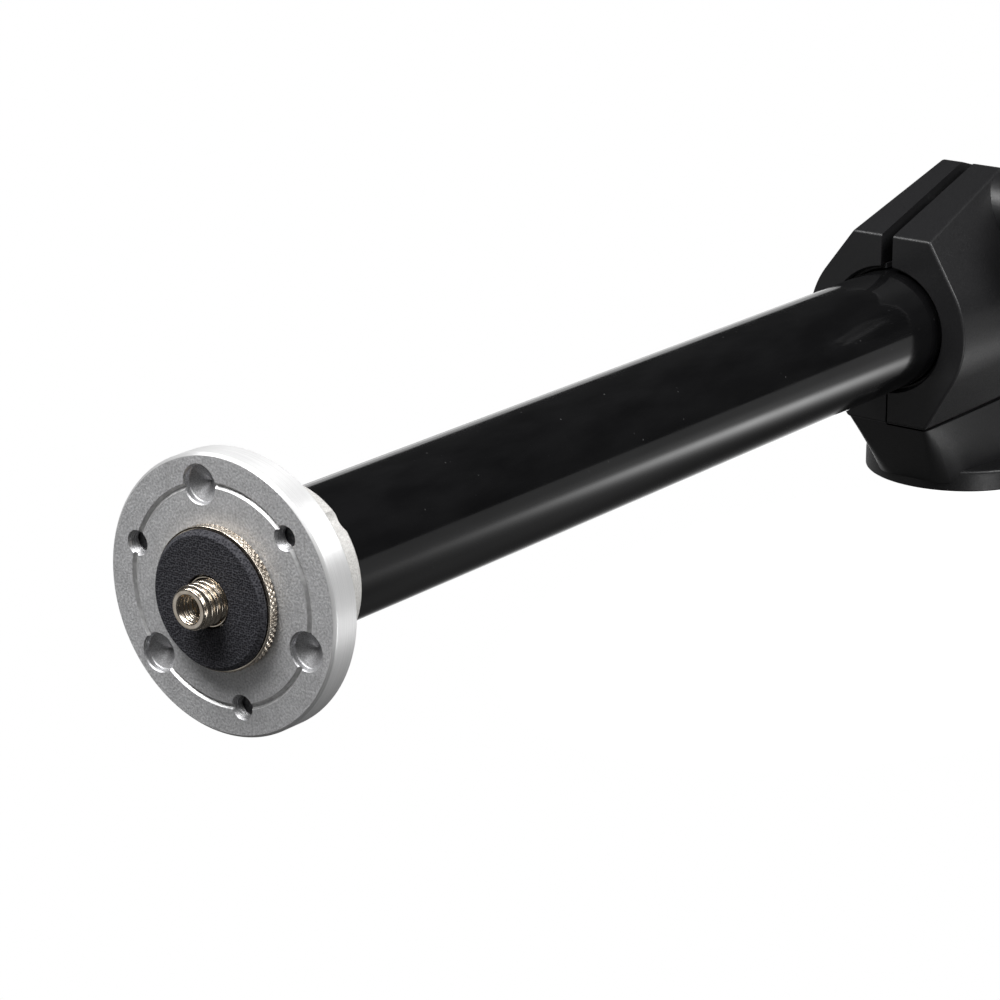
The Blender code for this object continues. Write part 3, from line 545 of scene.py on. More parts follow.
def large_hole(angle, number):
    edge = LARGE_HOLE_RADIUS + HOLE_EDGE
    corners = [(-BEYOND, edge + BEYOND), (0, edge), (HOLE_EDGE, LARGE_HOLE_RADIUS),
               (LARGE_HOLE_DEPTH, LARGE_HOLE_RADIUS), (LARGE_HOLE_DEPTH + DRILL_POINT, 0.05 * MM)]
    rings = lathed(corners, mm(0, 0, 0, 0.3, 0), on_pitch_circle(angle), X, 96)
    return skinned(f"large_hole_{number}", rings, [DRILLED_WITH_PAINTED_SHADE])


def small_hole(angle, number, segments=64):
    along = np.arange(0, DISC_THICKNESS + BEYOND, SMALL_PITCH / 12)
    wall = SMALL_ROOT - (SMALL_ROOT - SMALL_CREST) * thread_height(along, SMALL_PITCH, segments)
    mouth = SMALL_ROOT + 0.5 * HOLE_EDGE - along[:, None]
    rings = turned(along, np.maximum(wall, mouth), on_pitch_circle(angle), X, segments)
    lead = turned([-BEYOND], [SMALL_ROOT + BEYOND], on_pitch_circle(angle), X, segments)
    return skinned(f"small_hole_{number}", np.concatenate([lead, rings]), [DRILLED_WITH_PAINTED_SHADE])


def key_groove(angle, number):
    reach, radius = [DISC_THICKNESS, HUB_REACH + BEYOND], [KEY_GROOVE_RADIUS] * 2
    return skinned(f"key_groove_{number}", turned(reach, radius, on_pitch_circle(angle), X), [BLASTED])


# %% The platform casting
def make_platform():
    """Each corner of the profile has its depth, its radius, its rounding in mm and its finish's number."""
    groove = PITCH_RADIUS
    tube_socket = TUBE_RADIUS + TUBE_FIT
    cast, rim, blasted, grooved = range(4)
    corners = [
        (WEB_DEPTH, STUD_BORE, 0, cast), (0, STUD_BORE, 0, cast),
        (0, groove - GROOVE_HALF_WIDTH, 0.12, grooved), (GROOVE_DEPTH, groove - GROOVE_FLOOR, 0.1, grooved),
        (GROOVE_DEPTH, groove + GROOVE_FLOOR, 0.1, grooved), (0, groove + GROOVE_HALF_WIDTH, 0.12, cast),
        (0, DISC_RADIUS - RIM_EDGE, 0.1, rim), (RIM_EDGE, DISC_RADIUS, 0.25, rim),
        (DISC_THICKNESS - RIM_EDGE, DISC_RADIUS, 0.3, rim),
        (DISC_THICKNESS, DISC_RADIUS - RIM_EDGE, 0.3, blasted), (DISC_THICKNESS, HUB_RADIUS, 0.5, blasted),
        (HUB_REACH - HUB_EDGE, HUB_RADIUS, 0.3, blasted), (HUB_REACH, HUB_RADIUS - HUB_EDGE, 0.2, blasted),
        (HUB_REACH, tube_socket, 0.2, blasted), (WEB_DEPTH, tube_socket, 0, cast)]
    along, radius, reach, band = np.array(corners).T
    profile = eased(np.c_[along, radius], reach * MM, closed=True)
    nearest = np.linalg.norm(profile[:, None] - np.c_[along, radius][None], axis=2).argmin(axis=1)
    rings = turned(*profile.T, on_axis(FACE_X), X, 256)
    plate = skinned("platform", rings, [CAST, TURNED, BLASTED, GROOVED], wrap=True, bands=band[nearest])
    holes = [large_hole(angle, i) for i, angle in enumerate(LARGE_HOLE_ANGLES, 1)]
    holes += [small_hole(angle, i) for i, angle in enumerate(SMALL_HOLE_ANGLES, 1)]
    holes += [key_groove(angle, i) for i, angle in enumerate(SMALL_HOLE_ANGLES, 1)]
    return stands_for(smooth(carve(plate, holes)), "platform_plate")


make_platform()

# %% [markdown]
# ## The stud, its lock disc and the pad
# The 3/8 inch stud is one surface: down its outer thread to the tip, over the rim and into the 1/4 inch
# thread inside. The lock disc's edge is knurled in diamonds, which are two sets of slanting cuts that
# cross. The pad is a flat rubber ring with a bevelled edge.

# %% The camera stud
INCH = 25.4 * MM
STUD_CREST, STUD_ROOT, STUD_PITCH = 4.76 * MM, 4.0 * MM, INCH / 16
STUD_REACH, STUD_TIP = mm(10.0, 0.35)  # how far it stands out, and its rounded tip
STUD_HEAD_RADIUS, STUD_HEAD_FRONT, STUD_HEAD_REAR = mm(9, 9.3, 12.3)
BORE_ROOT, BORE_CREST, BORE_PITCH = 3.175 * MM, 2.65 * MM, INCH / 20
BORE_DEPTH, BORE_MOUTH = mm(7.0, 0.5)


def make_stud():
    """Outer radius: root + (crest - root) * wave. Bore radius: root - (root - crest) * wave."""
    segments = 128
    outer = np.arange(1.0 * MM, -STUD_REACH + STUD_TIP, -STUD_PITCH / 20)
    tip = faded(-outer, STUD_REACH - STUD_TIP, STUD_REACH - 1.1 * MM)
    height = thread_height(outer, STUD_PITCH, segments) * (0.35 + 0.65 * tip)
    outside = STUD_ROOT + (STUD_CREST - STUD_ROOT) * height
    inner = np.arange(-STUD_REACH + BORE_MOUTH, -STUD_REACH + BORE_DEPTH, BORE_PITCH / 20)
    inside = BORE_ROOT - (BORE_ROOT - BORE_CREST) * thread_height(inner, BORE_PITCH, segments)
    lip = eased([(-STUD_REACH + STUD_TIP, STUD_ROOT + 0.4 * MM), (-STUD_REACH, STUD_ROOT + 0.15 * MM),
                 (-STUD_REACH, BORE_ROOT - 0.1 * MM), (-STUD_REACH + BORE_MOUTH, BORE_ROOT - 0.3 * MM)],
                mm(0, 0.2, 0.25, 0), steps=7)[1:-1]
    head = [STUD_HEAD_RADIUS, STUD_HEAD_RADIUS, STUD_CREST]
    along = np.concatenate([[STUD_HEAD_REAR, STUD_HEAD_FRONT, STUD_HEAD_FRONT], outer, lip[:, 0], inner])
    radius = np.concatenate([all_round(head, segments), outside, all_round(lip[:, 1], segments), inside])
    return finished("stud", "camera_stud", turned(along, radius, on_axis(FACE_X), X, segments), NICKEL)


make_stud()

# %% The knurled lock disc
KNURL_COUNT, KNURL_DEPTH = 72, 0.3 * MM
LOCK_WIDTH, LOCK_BOSS = mm(2.3, 5.3)


def saw(turns):
    """Distance from the middle of each tooth, from 0 to 1."""
    return np.abs(2 * (turns % 1) - 1)


def make_lock_disc():
    """Edge radius: disc radius - depth * the larger of two saw waves that slant opposite ways."""
    segments = KNURL_COUNT * 16
    low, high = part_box("knurled_disc")
    rear, boss_tip = high.x, low.x
    front = rear - LOCK_WIDTH
    crest = (high.z - low.z) / 2
    band = np.linspace(rear - 0.25 * MM, front + 0.35 * MM, 25)
    around = np.linspace(0, KNURL_COUNT, segments, endpoint=False)[None, :]
    climb = (band[:, None] - front) / (2 * math.pi * crest / KNURL_COUNT)
    cuts = np.maximum(saw(around + climb), saw(around - climb))
    edge = crest - KNURL_DEPTH * cuts
    before = eased([(rear, STUD_BORE), (rear, crest - 0.4 * MM), (band[0], crest - 0.2 * MM)],
                   mm(0, 0.1, 0))
    after = eased([(band[-1], crest - 0.15 * MM), (front + 0.12 * MM, crest - 0.2 * MM),
                   (front, crest - 0.5 * MM), (front, LOCK_BOSS), (boss_tip, LOCK_BOSS),
                   (boss_tip, STUD_BORE)], mm(0, 0.1, 0.1, 0.1, 0.06, 0))
    along = np.concatenate([before[:, 0], band, after[:, 0]])
    radius = np.concatenate([all_round(before[:, 1], segments), edge, all_round(after[:, 1], segments)])
    rings = turned(along, radius, on_axis(0), X, segments)
    return finished("lock_disc", "knurled_disc", rings, NICKEL, wrap=True, crisp=50)


make_lock_disc()

# %% The rubber pad
PAD_HOLE, PAD_BEVEL, PAD_EDGE = mm(5.7, 0.9, 0.35)


def make_pad():
    low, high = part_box("rubber_pad")
    rear, front = high.x, low.x
    outer = (high.z - low.z) / 2
    corners = [(rear, PAD_HOLE), (rear, outer), (rear - PAD_EDGE, outer), (front, outer - PAD_BEVEL),
               (front, PAD_HOLE)]
    reach = mm(0, 0.08, 0.15, 0.15, 0.2)
    rings = lathed(corners, reach, on_axis(0), X, 192, closed=True)
    return finished("pad", "rubber_pad", rings, RUBBER, wrap=True)


make_pad()

# %% [markdown]
# ## The clamp's castings
# The clamp is one block, split in two along the tube. Each outline of the block has a flat top, straight
# flanks that run tangent to a round barrel, and a flat floor. The top ramps up from both ends to a ridge.
# The block is skinned over such outlines, and then the halves are cut apart and drilled as on a mill.

# %% The clamp's sizes
BARREL_RADIUS = 23.2 * MM
END_TOP = np.array((24.8, 10.5, 12.0)) * MM  # height above the axis, far edge, near edge
RIDGE_TOP = np.array((36.6, 8.0, 9.5)) * MM
RIDGE_HALF_LENGTH = 0.3 * MM
FLOOR_DEPTH, FLOOR_FAR, FLOOR_NEAR = mm(25.0, 10.6, 12.5)
BODY_FACE_Y, JAW_FACE_Y, SPLIT_GAP, FLOOR_GAP = mm(2.0, -1.35, 0.5, 0.6)
MOUTH_RADIUS, MOUTH_EDGE, LINER_SEAT_RADIUS, LIP = mm(16.3, 0.5, 17.3, 2.0)
CAST_ROUNDING = 0.7 * MM
PIN_Y, PIN_Z = (pin_low.y + pin_high.y) / 2, (pin_low.z + pin_high.z) / 2
PIN_CENTRE = np.array((0, PIN_Y, PIN_Z))
PIN_HOLE, PIN_END_PLAY = mm(2.3, 0.3)
LUG_RADIUS, LUG_HALF_LENGTH = mm(3.7, 24.0)
SCREW_HOLE = 3.6 * MM
HALF_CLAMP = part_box("clamp_body")[1].x


# %% Outlines of the block
def flank(edge, height, floor_edge, steps=40):
    """One side: the top's edge, the barrel between its two tangent points, and the floor's edge.

    The tangent from a point at distance d and angle a touches the barrel at the angle a -+ acos(radius / d).
    """
    top = math.atan2(height, edge) - math.acos(BARREL_RADIUS / math.hypot(edge, height))
    floor = math.hypot(floor_edge, FLOOR_DEPTH)
    low = math.atan2(-FLOOR_DEPTH, floor_edge) + math.acos(BARREL_RADIUS / floor)
    turn = np.linspace(top, low, steps)
    barrel = BARREL_RADIUS * np.stack([np.cos(turn), np.sin(turn)], axis=1)
    return np.concatenate([[(edge, height)], barrel, [(floor_edge, -FLOOR_DEPTH)]])


def block_outline(share):
    """The outline of the block, from its end (share 0) to its ridge (share 1), with eased corners."""
    height, far_edge, near_edge = END_TOP + (RIDGE_TOP - END_TOP) * share
    far = flank(far_edge, height, FLOOR_FAR)
    near = flank(near_edge, height, FLOOR_NEAR)[::-1] * (-1, 1)
    corners = np.concatenate([far, near])
    reach = np.zeros(len(corners))
    reach[[0, len(far) - 1, len(far), -1]] = CAST_ROUNDING
    return eased(corners, reach, closed=True)


def shrunk(outline, inset):
    """The outline moved inwards by the inset, along its normals."""
    along = np.roll(outline, -1, axis=0) - np.roll(outline, 1, axis=0)
    outward = np.stack([along[:, 1], -along[:, 0]], axis=1)
    outward *= np.sign(np.sum(outward * outline)) / np.linalg.norm(outward, axis=1, keepdims=True)
    return outline - inset * outward


def at_x(outline, x):
    return np.insert(outline + (0, AXIS_Z), 0, x, axis=1)


def clamp_block(name):
    """Near each end the outline shrinks by r (1 - sin t) while x moves in by r (1 - cos t)."""
    turn = np.linspace(0, math.pi / 2, 6)
    x = np.concatenate([HALF_CLAMP - CAST_ROUNDING * (1 - np.cos(turn)), [RIDGE_HALF_LENGTH]])
    inset = np.append(CAST_ROUNDING * (1 - np.sin(turn)), 0)
    share = (HALF_CLAMP - x) / (HALF_CLAMP - RIDGE_HALF_LENGTH)
    half = [shrunk(block_outline(s), i) for s, i in zip(share, inset)]
    rings = [at_x(outline, -place_x) for outline, place_x in zip(half, x)]
    rings += [at_x(outline, place_x) for outline, place_x in zip(half[::-1], x[::-1])]
    return skinned(name, np.array(rings), [SATIN])


# %% [markdown]
# The neck joins the block to the round foot. Its outline is a superellipse, which is a rectangle with soft
# corners, and its sides swell towards the foot. The foot is a turned disc with a rounded rim.


# %% The neck and the foot
NECK_TOE_HALF_WIDTH, NECK_BULGE, NECK_TOE_HEIGHT = mm(7.5, 8.5, 2.4)
NECK_POWERS = 60, 12  # nearly square at the block, softer at the foot
FOOT_RADIUS, FOOT_THICKNESS = mm(24.4, 5.7)


def neck_quarter(half_length, edge, bulge, power, steps=14, bend=0.9):
    """Points where x and y are above 0, (x / L)^p + w^p = 1 and y = w (edge + bulge * sqrt(1 - (x / L)^2)).

    They are spaced evenly along x up to the bend, a share of L, and by angle round the corner beyond it.
    """
    flat = np.linspace(0, bend, steps)
    turn = np.linspace(math.acos(bend ** (power / 2)), 0, steps)[1:]
    u = np.concatenate([flat, np.cos(turn) ** (2 / power)])
    w = np.concatenate([(1 - flat ** power) ** (1 / power), np.sin(turn) ** (2 / power)])
    return np.stack([half_length * u, w * (edge + bulge * np.sqrt(1 - np.minimum(u, 1) ** 2))], axis=1)


def neck_ring(share, height):
    """One outline, from the block (share 0) to the foot (share 1). Its corners soften as the power falls."""
    half_length = HALF_CLAMP - 0.05 * MM + (FOOT_RADIUS - HALF_CLAMP) * share
    power = NECK_POWERS[0] + (NECK_POWERS[1] - NECK_POWERS[0]) * share ** 0.5
    far, near = [neck_quarter(half_length, edge + (NECK_TOE_HALF_WIDTH - edge) * share,
                              NECK_BULGE * share, power) for edge in (FLOOR_FAR, FLOOR_NEAR)]
    outline = np.concatenate([far[:-1], near[::-1] * (1, -1), (near * (-1, -1))[1:],
                              (far[::-1] * (-1, 1))[1:-1]])
    return np.insert(outline, 2, height, axis=1)


def make_neck():
    top = AXIS_Z - FLOOR_DEPTH + FLOOR_GAP
    share = np.linspace(0, 1, 25)
    rings = [neck_ring(s, top + (NECK_TOE_HEIGHT - top) * s) for s in share]
    return skinned("neck", np.array(rings), [SATIN])


def make_foot():
    corners = [(0, 1 * MM), (0, FOOT_RADIUS), (FOOT_THICKNESS, FOOT_RADIUS), (FOOT_THICKNESS, 1 * MM)]
    rings = lathed(corners, mm(0, 0.4, 1.1, 0), np.zeros(3), Z, 192, steps=7)
    return skinned("foot", rings, [SATIN])


# %% [markdown]
# The cutters are the drills and mills that shape the two halves: the parting cut, the bore with the wider
# seat for the liner, the hinge pin's hole, the screw's hole and the pockets for the nut and the spring.


# %% Drills and mills
def prism(name, outline, reach):
    """(y, z) points, from the world's origin, carried along X to both sides."""
    outline = np.asarray(outline, float)
    rings = [np.insert(outline, 0, x, axis=1) for x in (-reach, reach)]
    return skinned(name, np.array(rings), [SATIN])


def drill(name, radius, start, end, centre, axis, segments=64):
    return skinned(name, turned([start, end], [radius] * 2, centre, axis, segments), [SATIN])


def bore(name):
    """The tube's bore: a bevelled mouth at each end, and the liner's wider seat between the two lips."""
    seat = HALF_CLAMP - LIP
    half = [(seat, LINER_SEAT_RADIUS), (seat, MOUTH_RADIUS), (HALF_CLAMP - MOUTH_EDGE, MOUTH_RADIUS),
            (HALF_CLAMP + BEYOND, MOUTH_RADIUS + MOUTH_EDGE + BEYOND)]
    profile = np.array([(-x, radius) for x, radius in half[::-1]] + half)
    return skinned(name, turned(*profile.T, on_axis(0), X, 192), [SATIN])


def lug(name, radius, half_length, floor):
    """A lug that is round about the hinge pin and stands on the given height."""
    turn = np.linspace(0, math.pi, 33)
    top = np.stack([PIN_Y + radius * np.cos(turn), PIN_Z + radius * np.sin(turn)], axis=1)
    feet = [(PIN_Y - radius, floor), (PIN_Y + radius, floor)]
    return prism(name, np.concatenate([top, feet]), half_length)


def pin_hole(name):
    return drill(name, PIN_HOLE, pin_low.x - PIN_END_PLAY, HALF_CLAMP + BEYOND, PIN_CENTRE, X)


def hexagon(across, segments):
    """Radius at each angle: half the width over the cosine of the angle from the nearest flat's middle."""
    angle = np.linspace(0, 2 * math.pi, segments, endpoint=False)
    return across / 2 / np.cos((angle % (math.pi / 3)) - math.pi / 6)


def clean_casting(piece, node):
    rejoined(piece.data, 0.2)
    return stands_for(smooth(piece, 30), node)


# %% The clamp's body
CUT_SIDE, CUT_TOP = mm(60, 100)  # the parting cuts end in the open, well past the block
NUT_POCKET_WIDTH, NUT_SEAT, NUT_POCKET_END = mm(10.6, 5, 30)
SOCKET_RADIUS, SOCKET_DEPTH = mm(7.3, 16.5)


def make_clamp_body():
    body = carve(clamp_block("body_casting"), [make_neck()], "UNION")
    split_y = JAW_FACE_Y + SPLIT_GAP
    floor = AXIS_Z - FLOOR_DEPTH - FLOOR_GAP
    outline = [(-CUT_SIDE, CUT_TOP), (BODY_FACE_Y, CUT_TOP), (BODY_FACE_Y, AXIS_Z), (split_y, AXIS_Z),
               (split_y, floor), (-CUT_SIDE, floor)]
    body = carve(body, [prism("parting_cut", outline, 2 * HALF_CLAMP)])
    body = carve(body, [make_foot(), lug("lug", LUG_RADIUS, LUG_HALF_LENGTH, floor - BEYOND)], "UNION")
    flats = np.stack([hexagon(NUT_POCKET_WIDTH, 96)] * 2)
    pocket = turned([NUT_SEAT, NUT_POCKET_END], flats, on_screw(0), Y, 96)
    holes = [bore("body_bore"), pin_hole("body_pin_hole"), skinned("nut_pocket", pocket, [SATIN]),
             drill("body_screw_hole", SCREW_HOLE, 0, NUT_SEAT + BEYOND, on_screw(0), Y),
             drill("socket", SOCKET_RADIUS, -BEYOND, SOCKET_DEPTH, np.zeros(3), Z, 96)]
    return clean_casting(carve(body, holes), "clamp_body")


make_clamp_body()

# %% The clamp's jaw, with the boss that the knob presses on
BOSS_ROOT, BOSS_TIP = mm(-8, -24)
BOSS_ROOT_RADIUS, BOSS_TIP_RADIUS = mm(11, 9.5)
SPRING_RADIUS, SPRING_DEPTH = mm(5.4, 8)  # of the spring's pocket


def make_clamp_jaw():
    outline = [(JAW_FACE_Y, -BEYOND), (CUT_SIDE, -BEYOND), (CUT_SIDE, CUT_TOP), (JAW_FACE_Y, CUT_TOP)]
    jaw = carve(clamp_block("jaw_casting"), [prism("face_cut", outline, 2 * HALF_CLAMP)])
    corners = [(BOSS_ROOT, 1 * MM), (BOSS_ROOT, BOSS_ROOT_RADIUS), (BOSS_TIP, BOSS_TIP_RADIUS),
               (BOSS_TIP, 1 * MM)]
    boss = lathed(corners, mm(0, 0, 0.8, 0), on_screw(0), Y, steps=7)
    jaw = carve(jaw, [skinned("boss", boss, [SATIN])], "UNION")
    room = lug("lug_room", LUG_RADIUS + SPLIT_GAP, LUG_HALF_LENGTH + SPLIT_GAP,
               AXIS_Z - FLOOR_DEPTH - BEYOND)
    holes = [bore("jaw_bore"), room, pin_hole("jaw_pin_hole"),
             drill("jaw_screw_hole", SCREW_HOLE, BOSS_TIP - BEYOND, 0, on_screw(0), Y),
             drill("spring_pocket", SPRING_RADIUS, JAW_FACE_Y - SPRING_DEPTH, 0, on_screw(0), Y)]
    return clean_casting(carve(jaw, holes), "clamp_jaw")


make_clamp_jaw()

# %% [markdown]
# ## The liner and the small screws
# These pieces are prisms and pins with broken edges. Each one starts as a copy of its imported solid. Its
# flat neighbours are rejoined, and a Bevel modifier rounds its edges.


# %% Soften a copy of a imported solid
def softened(node, name, material, width, angle=28.0):
    shape = frame["nodes"][node].data.copy()
    rejoined(shape, 0.5)
    shape.name = name
    shape.materials.clear()
    shape.materials.append(material)
    shade(shape, angle)
    made = in_scene(name, shape)
    bevel = made.modifiers.new("soft_edges", "BEVEL")
    bevel.width = width
    bevel.segments = 3
    bevel.limit_method = "ANGLE"
    bevel.angle_limit = math.radians(angle)
    bevel.harden_normals = True
    return stands_for(made, node)


softened("split_liner", "liner", NYLON, 0.15 * MM)
for number in (1, 2, 3):
    softened(f"set_screw_{number}", f"lock_screw_{number}", BLACK_STEEL, 0.1 * MM)
softened("hub_screw", "hub_grub_screw", BLACK_STEEL, 0.1 * MM)

# %% [markdown]
# ## The knob and what it turns
# The knob is a moulded star with six lobes. Its outline is a cosine wave round the circle, and its profile
# rises from a round collar to the full lobes and rounds over at the face. A cap fills the hole over the
# screw's head. The screw, nut, washers and spring show in the slot, in the pocket and behind the knob.

# %% The knob and its cap
KNOB_LOBES, LOBE_POWER = 6, 0.7  # a power below 1 makes the lobes broader
KNOB_RADIUS, KNOB_VALLEY, COLLAR_RADIUS = mm(22.0, 17.5, 10.5)
CAP_RADIUS = 8.5 * MM
COLLAR_LENGTH, FLARE_LENGTH, KNOB_ROUNDING = mm(3.0, 3.0, 4.0)
KNOB_FACE_DROP = 0.32  # how far the face's rounding draws the outline in
CAP_RECESS, SCREW_CLEARANCE = mm(2, 3.2)


def lobed(share, segments):
    """Collar + share * (valley + (full - valley) * wave^0.7 - collar), where wave = (1 + cos 6a) / 2."""
    angle = np.linspace(0, 2 * math.pi, segments, endpoint=False)
    wave = (0.5 + 0.5 * np.cos(KNOB_LOBES * angle)) ** LOBE_POWER
    outline = KNOB_VALLEY + (KNOB_RADIUS - KNOB_VALLEY) * wave
    return COLLAR_RADIUS + np.outer(share, outline - COLLAR_RADIUS)


def make_knob():
    segments = 240
    depth = knob_high.y - knob_low.y
    quarter = np.linspace(0, math.pi / 2, 9)
    flare = np.c_[COLLAR_LENGTH + FLARE_LENGTH * (1 - np.cos(quarter)), np.sin(quarter)]
    face = np.c_[depth - KNOB_ROUNDING * (1 - np.sin(quarter)), 1 - KNOB_FACE_DROP * (1 - np.cos(quarter))]
    middle = [(COLLAR_LENGTH + FLARE_LENGTH + 0.5 * MM, 1), (depth - KNOB_ROUNDING - 0.5 * MM, 1)]
    stations = np.concatenate([[(0, 0)], flare, middle, face])
    rim = CAP_RADIUS + 0.3 * MM
    recess = eased([(depth, rim + 0.4 * MM), (depth, rim), (depth - CAP_RECESS, rim),
                    (depth - CAP_RECESS, SCREW_CLEARANCE), (0, SCREW_CLEARANCE)], mm(0, 0.25, 0, 0, 0))
    along = np.concatenate([stations[:, 0], recess[:, 0]])
    radius = np.concatenate([lobed(stations[:, 1], segments), all_round(recess[:, 1], segments)])
    rings = turned(knob_high.y - along, radius, on_screw(0), Y, segments)
    return finished("star_knob", "clamp_knob", rings, MOULDED, wrap=True)


def make_knob_cap():
    low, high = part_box("knob_cap")
    corners = [(high.y, 3 * MM), (high.y, CAP_RADIUS), (low.y + 0.5 * MM, CAP_RADIUS),
               (low.y + 0.1 * MM, CAP_RADIUS - 1.2 * MM), (low.y, 0.5 * MM)]
    rings = lathed(corners, mm(0, 0, 0.25, 0.8, 0), on_screw(0), Y, 96)
    return finished("cap", "knob_cap", rings, MOULDED)


make_knob()
make_knob_cap()

# %% Screw, nut, washers and spring
SCREW_CREST, SCREW_ROOT, SCREW_PITCH = mm(2.9, 2.45, 1.0)
THREAD_START, THREAD_FULL = mm(-26, -25)  # y where the thread fades in, and where it is full
HEX_WIDTH = 10.0 * MM  # across the flats of the screw's head and of the nut
HEAD_STEPS = np.array([0.0, 0.5, 1.2, 4.0]) * MM  # the head's face, its crown and its full flats
SCREW_POINT = 0.3 * MM
NUT_BORE, NUT_CHAMFER = mm(3.35, 0.7)


def make_screw(segments=96):
    low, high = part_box("clamp_screw")
    flats = hexagon(HEX_WIDTH, segments)
    half = HEX_WIDTH / 2
    head = np.stack([np.minimum(flats, half) * 0.9, np.minimum(flats, half * 1.02),
                     np.minimum(flats, half * 1.12), flats])
    head_along = low.y + HEAD_STEPS
    along = np.arange(THREAD_START, high.y - SCREW_POINT, SCREW_PITCH / 16)
    grow = faded(along, THREAD_START, THREAD_FULL)
    height = 1 - grow * (1 - thread_height(along, SCREW_PITCH, segments))
    shank = SCREW_ROOT + (SCREW_CREST - SCREW_ROOT) * height
    lines = np.concatenate([head_along, head_along[-1:], along, [high.y]])
    radius = np.concatenate([head, all_round([SCREW_CREST], segments), shank,
                             all_round([SCREW_ROOT - SCREW_POINT], segments)])
    return finished("screw", "clamp_screw", turned(lines, radius, on_screw(0), Y, segments), ZINC)


def make_nut(segments=96):
    low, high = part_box("clamp_nut")
    along = [low.y, low.y, low.y + NUT_CHAMFER, high.y - NUT_CHAMFER, high.y, high.y]
    flats, bore = hexagon(HEX_WIDTH, segments), np.full(segments, NUT_BORE)
    round_face = np.minimum(flats, HEX_WIDTH / 2)
    radius = np.stack([bore, round_face, flats, flats, round_face, bore])
    rings = turned(along, radius, on_screw(0), Y, segments)
    return finished("nut", "clamp_nut", rings, ZINC, wrap=True)


def make_washer(name, node, material, edge):
    low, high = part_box(node)
    outer, inner = (high.z - low.z) / 2, SCREW_CLEARANCE
    corners = [(low.y, inner), (low.y, outer), (high.y, outer), (high.y, inner)]
    rings = lathed(corners, edge, on_screw(0), Y, 96, closed=True)
    return finished(name, node, rings, material, wrap=True)


make_screw()
make_nut()
make_washer("slip_washer", "nylon_washer", NYLON, 0.2 * MM)
make_washer("flat_washer", "steel_washer", ZINC, 0.25 * MM)

# %% [markdown]
# The spring is a wire carried along a helix. At each point of the helix the wire's round section lies in
# the plane of two directions: straight out from the screw, and the one square to both that and the path.


# %% The opening spring
def make_spring(mean_radius=4.3 * MM, wire_radius=0.5 * MM, turns=6, sides=12):
    """Centre line (r cos a, y, r sin a), y rising evenly. Section = wire * (cos b * out + sin b * over)."""
    low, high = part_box("opening_spring")
    angle = np.linspace(0, 2 * math.pi * turns, turns * 48 + 1)
    start, end = low.y + wire_radius, high.y - wire_radius
    along = start + (end - start) * angle / angle[-1]
    out = np.stack([np.cos(angle), np.zeros_like(angle), np.sin(angle)], axis=1)
    centre = out * mean_radius + np.stack([0 * along, along, 0 * along + SCREW_Z], axis=1)
    path = np.gradient(centre, axis=0)
    path /= np.linalg.norm(path, axis=1, keepdims=True)
    over = np.cross(path, out)
    around = np.linspace(0, 2 * math.pi, sides, endpoint=False)[None, :, None]
    section = np.cos(around) * out[:, None] + np.sin(around) * over[:, None]
    return finished("spring", "opening_spring", centre[:, None] + wire_radius * section, ZINC)


make_spring()

# %% [markdown]
# ## Under the foot and at the hinge
# From below, the foot shows the steel insert with its 3/8 inch thread. The hinge pin shows only at the
# clamp's rear end. Both are turned like the rest.

# %% The foot's insert and the hinge pin
INSERT_CREST, INSERT_LEAD = mm(4.1, 0.6)


def make_insert():
    segments = 128
    low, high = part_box("foot_insert")
    outer = (high.x - low.x) / 2
    along = np.arange(high.z, low.z + INSERT_LEAD, -STUD_PITCH / 16)
    wall = STUD_CREST - (STUD_CREST - INSERT_CREST) * thread_height(along, STUD_PITCH, segments)
    ends = eased([(low.z + INSERT_LEAD, STUD_CREST), (low.z, STUD_CREST + 0.5 * MM), (low.z, outer),
                  (high.z, outer), (high.z, STUD_CREST)], mm(0, 0.1, 0.3, 0.3, 0))
    lines = np.concatenate([along, ends[:, 0]])
    radius = np.concatenate([wall, all_round(ends[:, 1], segments)])
    rings = turned(lines, radius, np.zeros(3), Z, segments)
    return finished("insert", "foot_insert", rings, ZINC, wrap=True)


def make_pin():
    radius = (pin_high.z - pin_low.z) / 2
    corners = [(pin_low.x, 0.5 * MM), (pin_low.x, radius), (pin_high.x, radius), (pin_high.x, 0.5 * MM)]
    return finished("pin", "hinge_pin", lathed(corners, 0.4 * MM, PIN_CENTRE, X, 64), ZINC)


make_insert()
make_pin()

# %% [markdown]
# ## Floor, light and camera
# The photograph was taken in a dim room and then cut out on white. So the floor and the sky are white for
# the camera alone. For everything else the room is dark, and the floor is a dim glowing table whose glow
# falls away below the arm, a painted shadow of the arm. Soft pools of light are painted into its glow,
# because the black tube shows only what it mirrors. The pool on the right, a bright core and a long tail,
# is the streak on the tube's lower side, which gets brighter towards the clamp. The one behind is the thin
# pale line along the tube's lower edge.

# %% The floor and the sky
POOLS = (  # each has a place, a size, a turn and a glow
    ((0.479, -0.333), (0.142, 0.110), -0.671, 2.84),  # right, its bright core
    ((0.570, -0.468), (0.530, 0.110), -0.649, 0.34),  # right, its long tail
    ((0.50, 0.30), (0.25, 0.16), 0.0, 1.9),           # behind
    ((-1.05, 0.56), (0.45, 0.45), 0.0, 0.6))          # in front
TABLE_GLOW, ROOM_GLOW = 0.28, 0.03
FLOOR_Z, FLOOR_REACH = -0.25, 12.0


def camera_sees_white(shading, level):
    """The given level of light for everything, except for the camera, which sees 1."""
    seen = add_node(shading, "LightPath").outputs["Is Camera Ray"]
    return maths(shading, "MAXIMUM", seen, level)


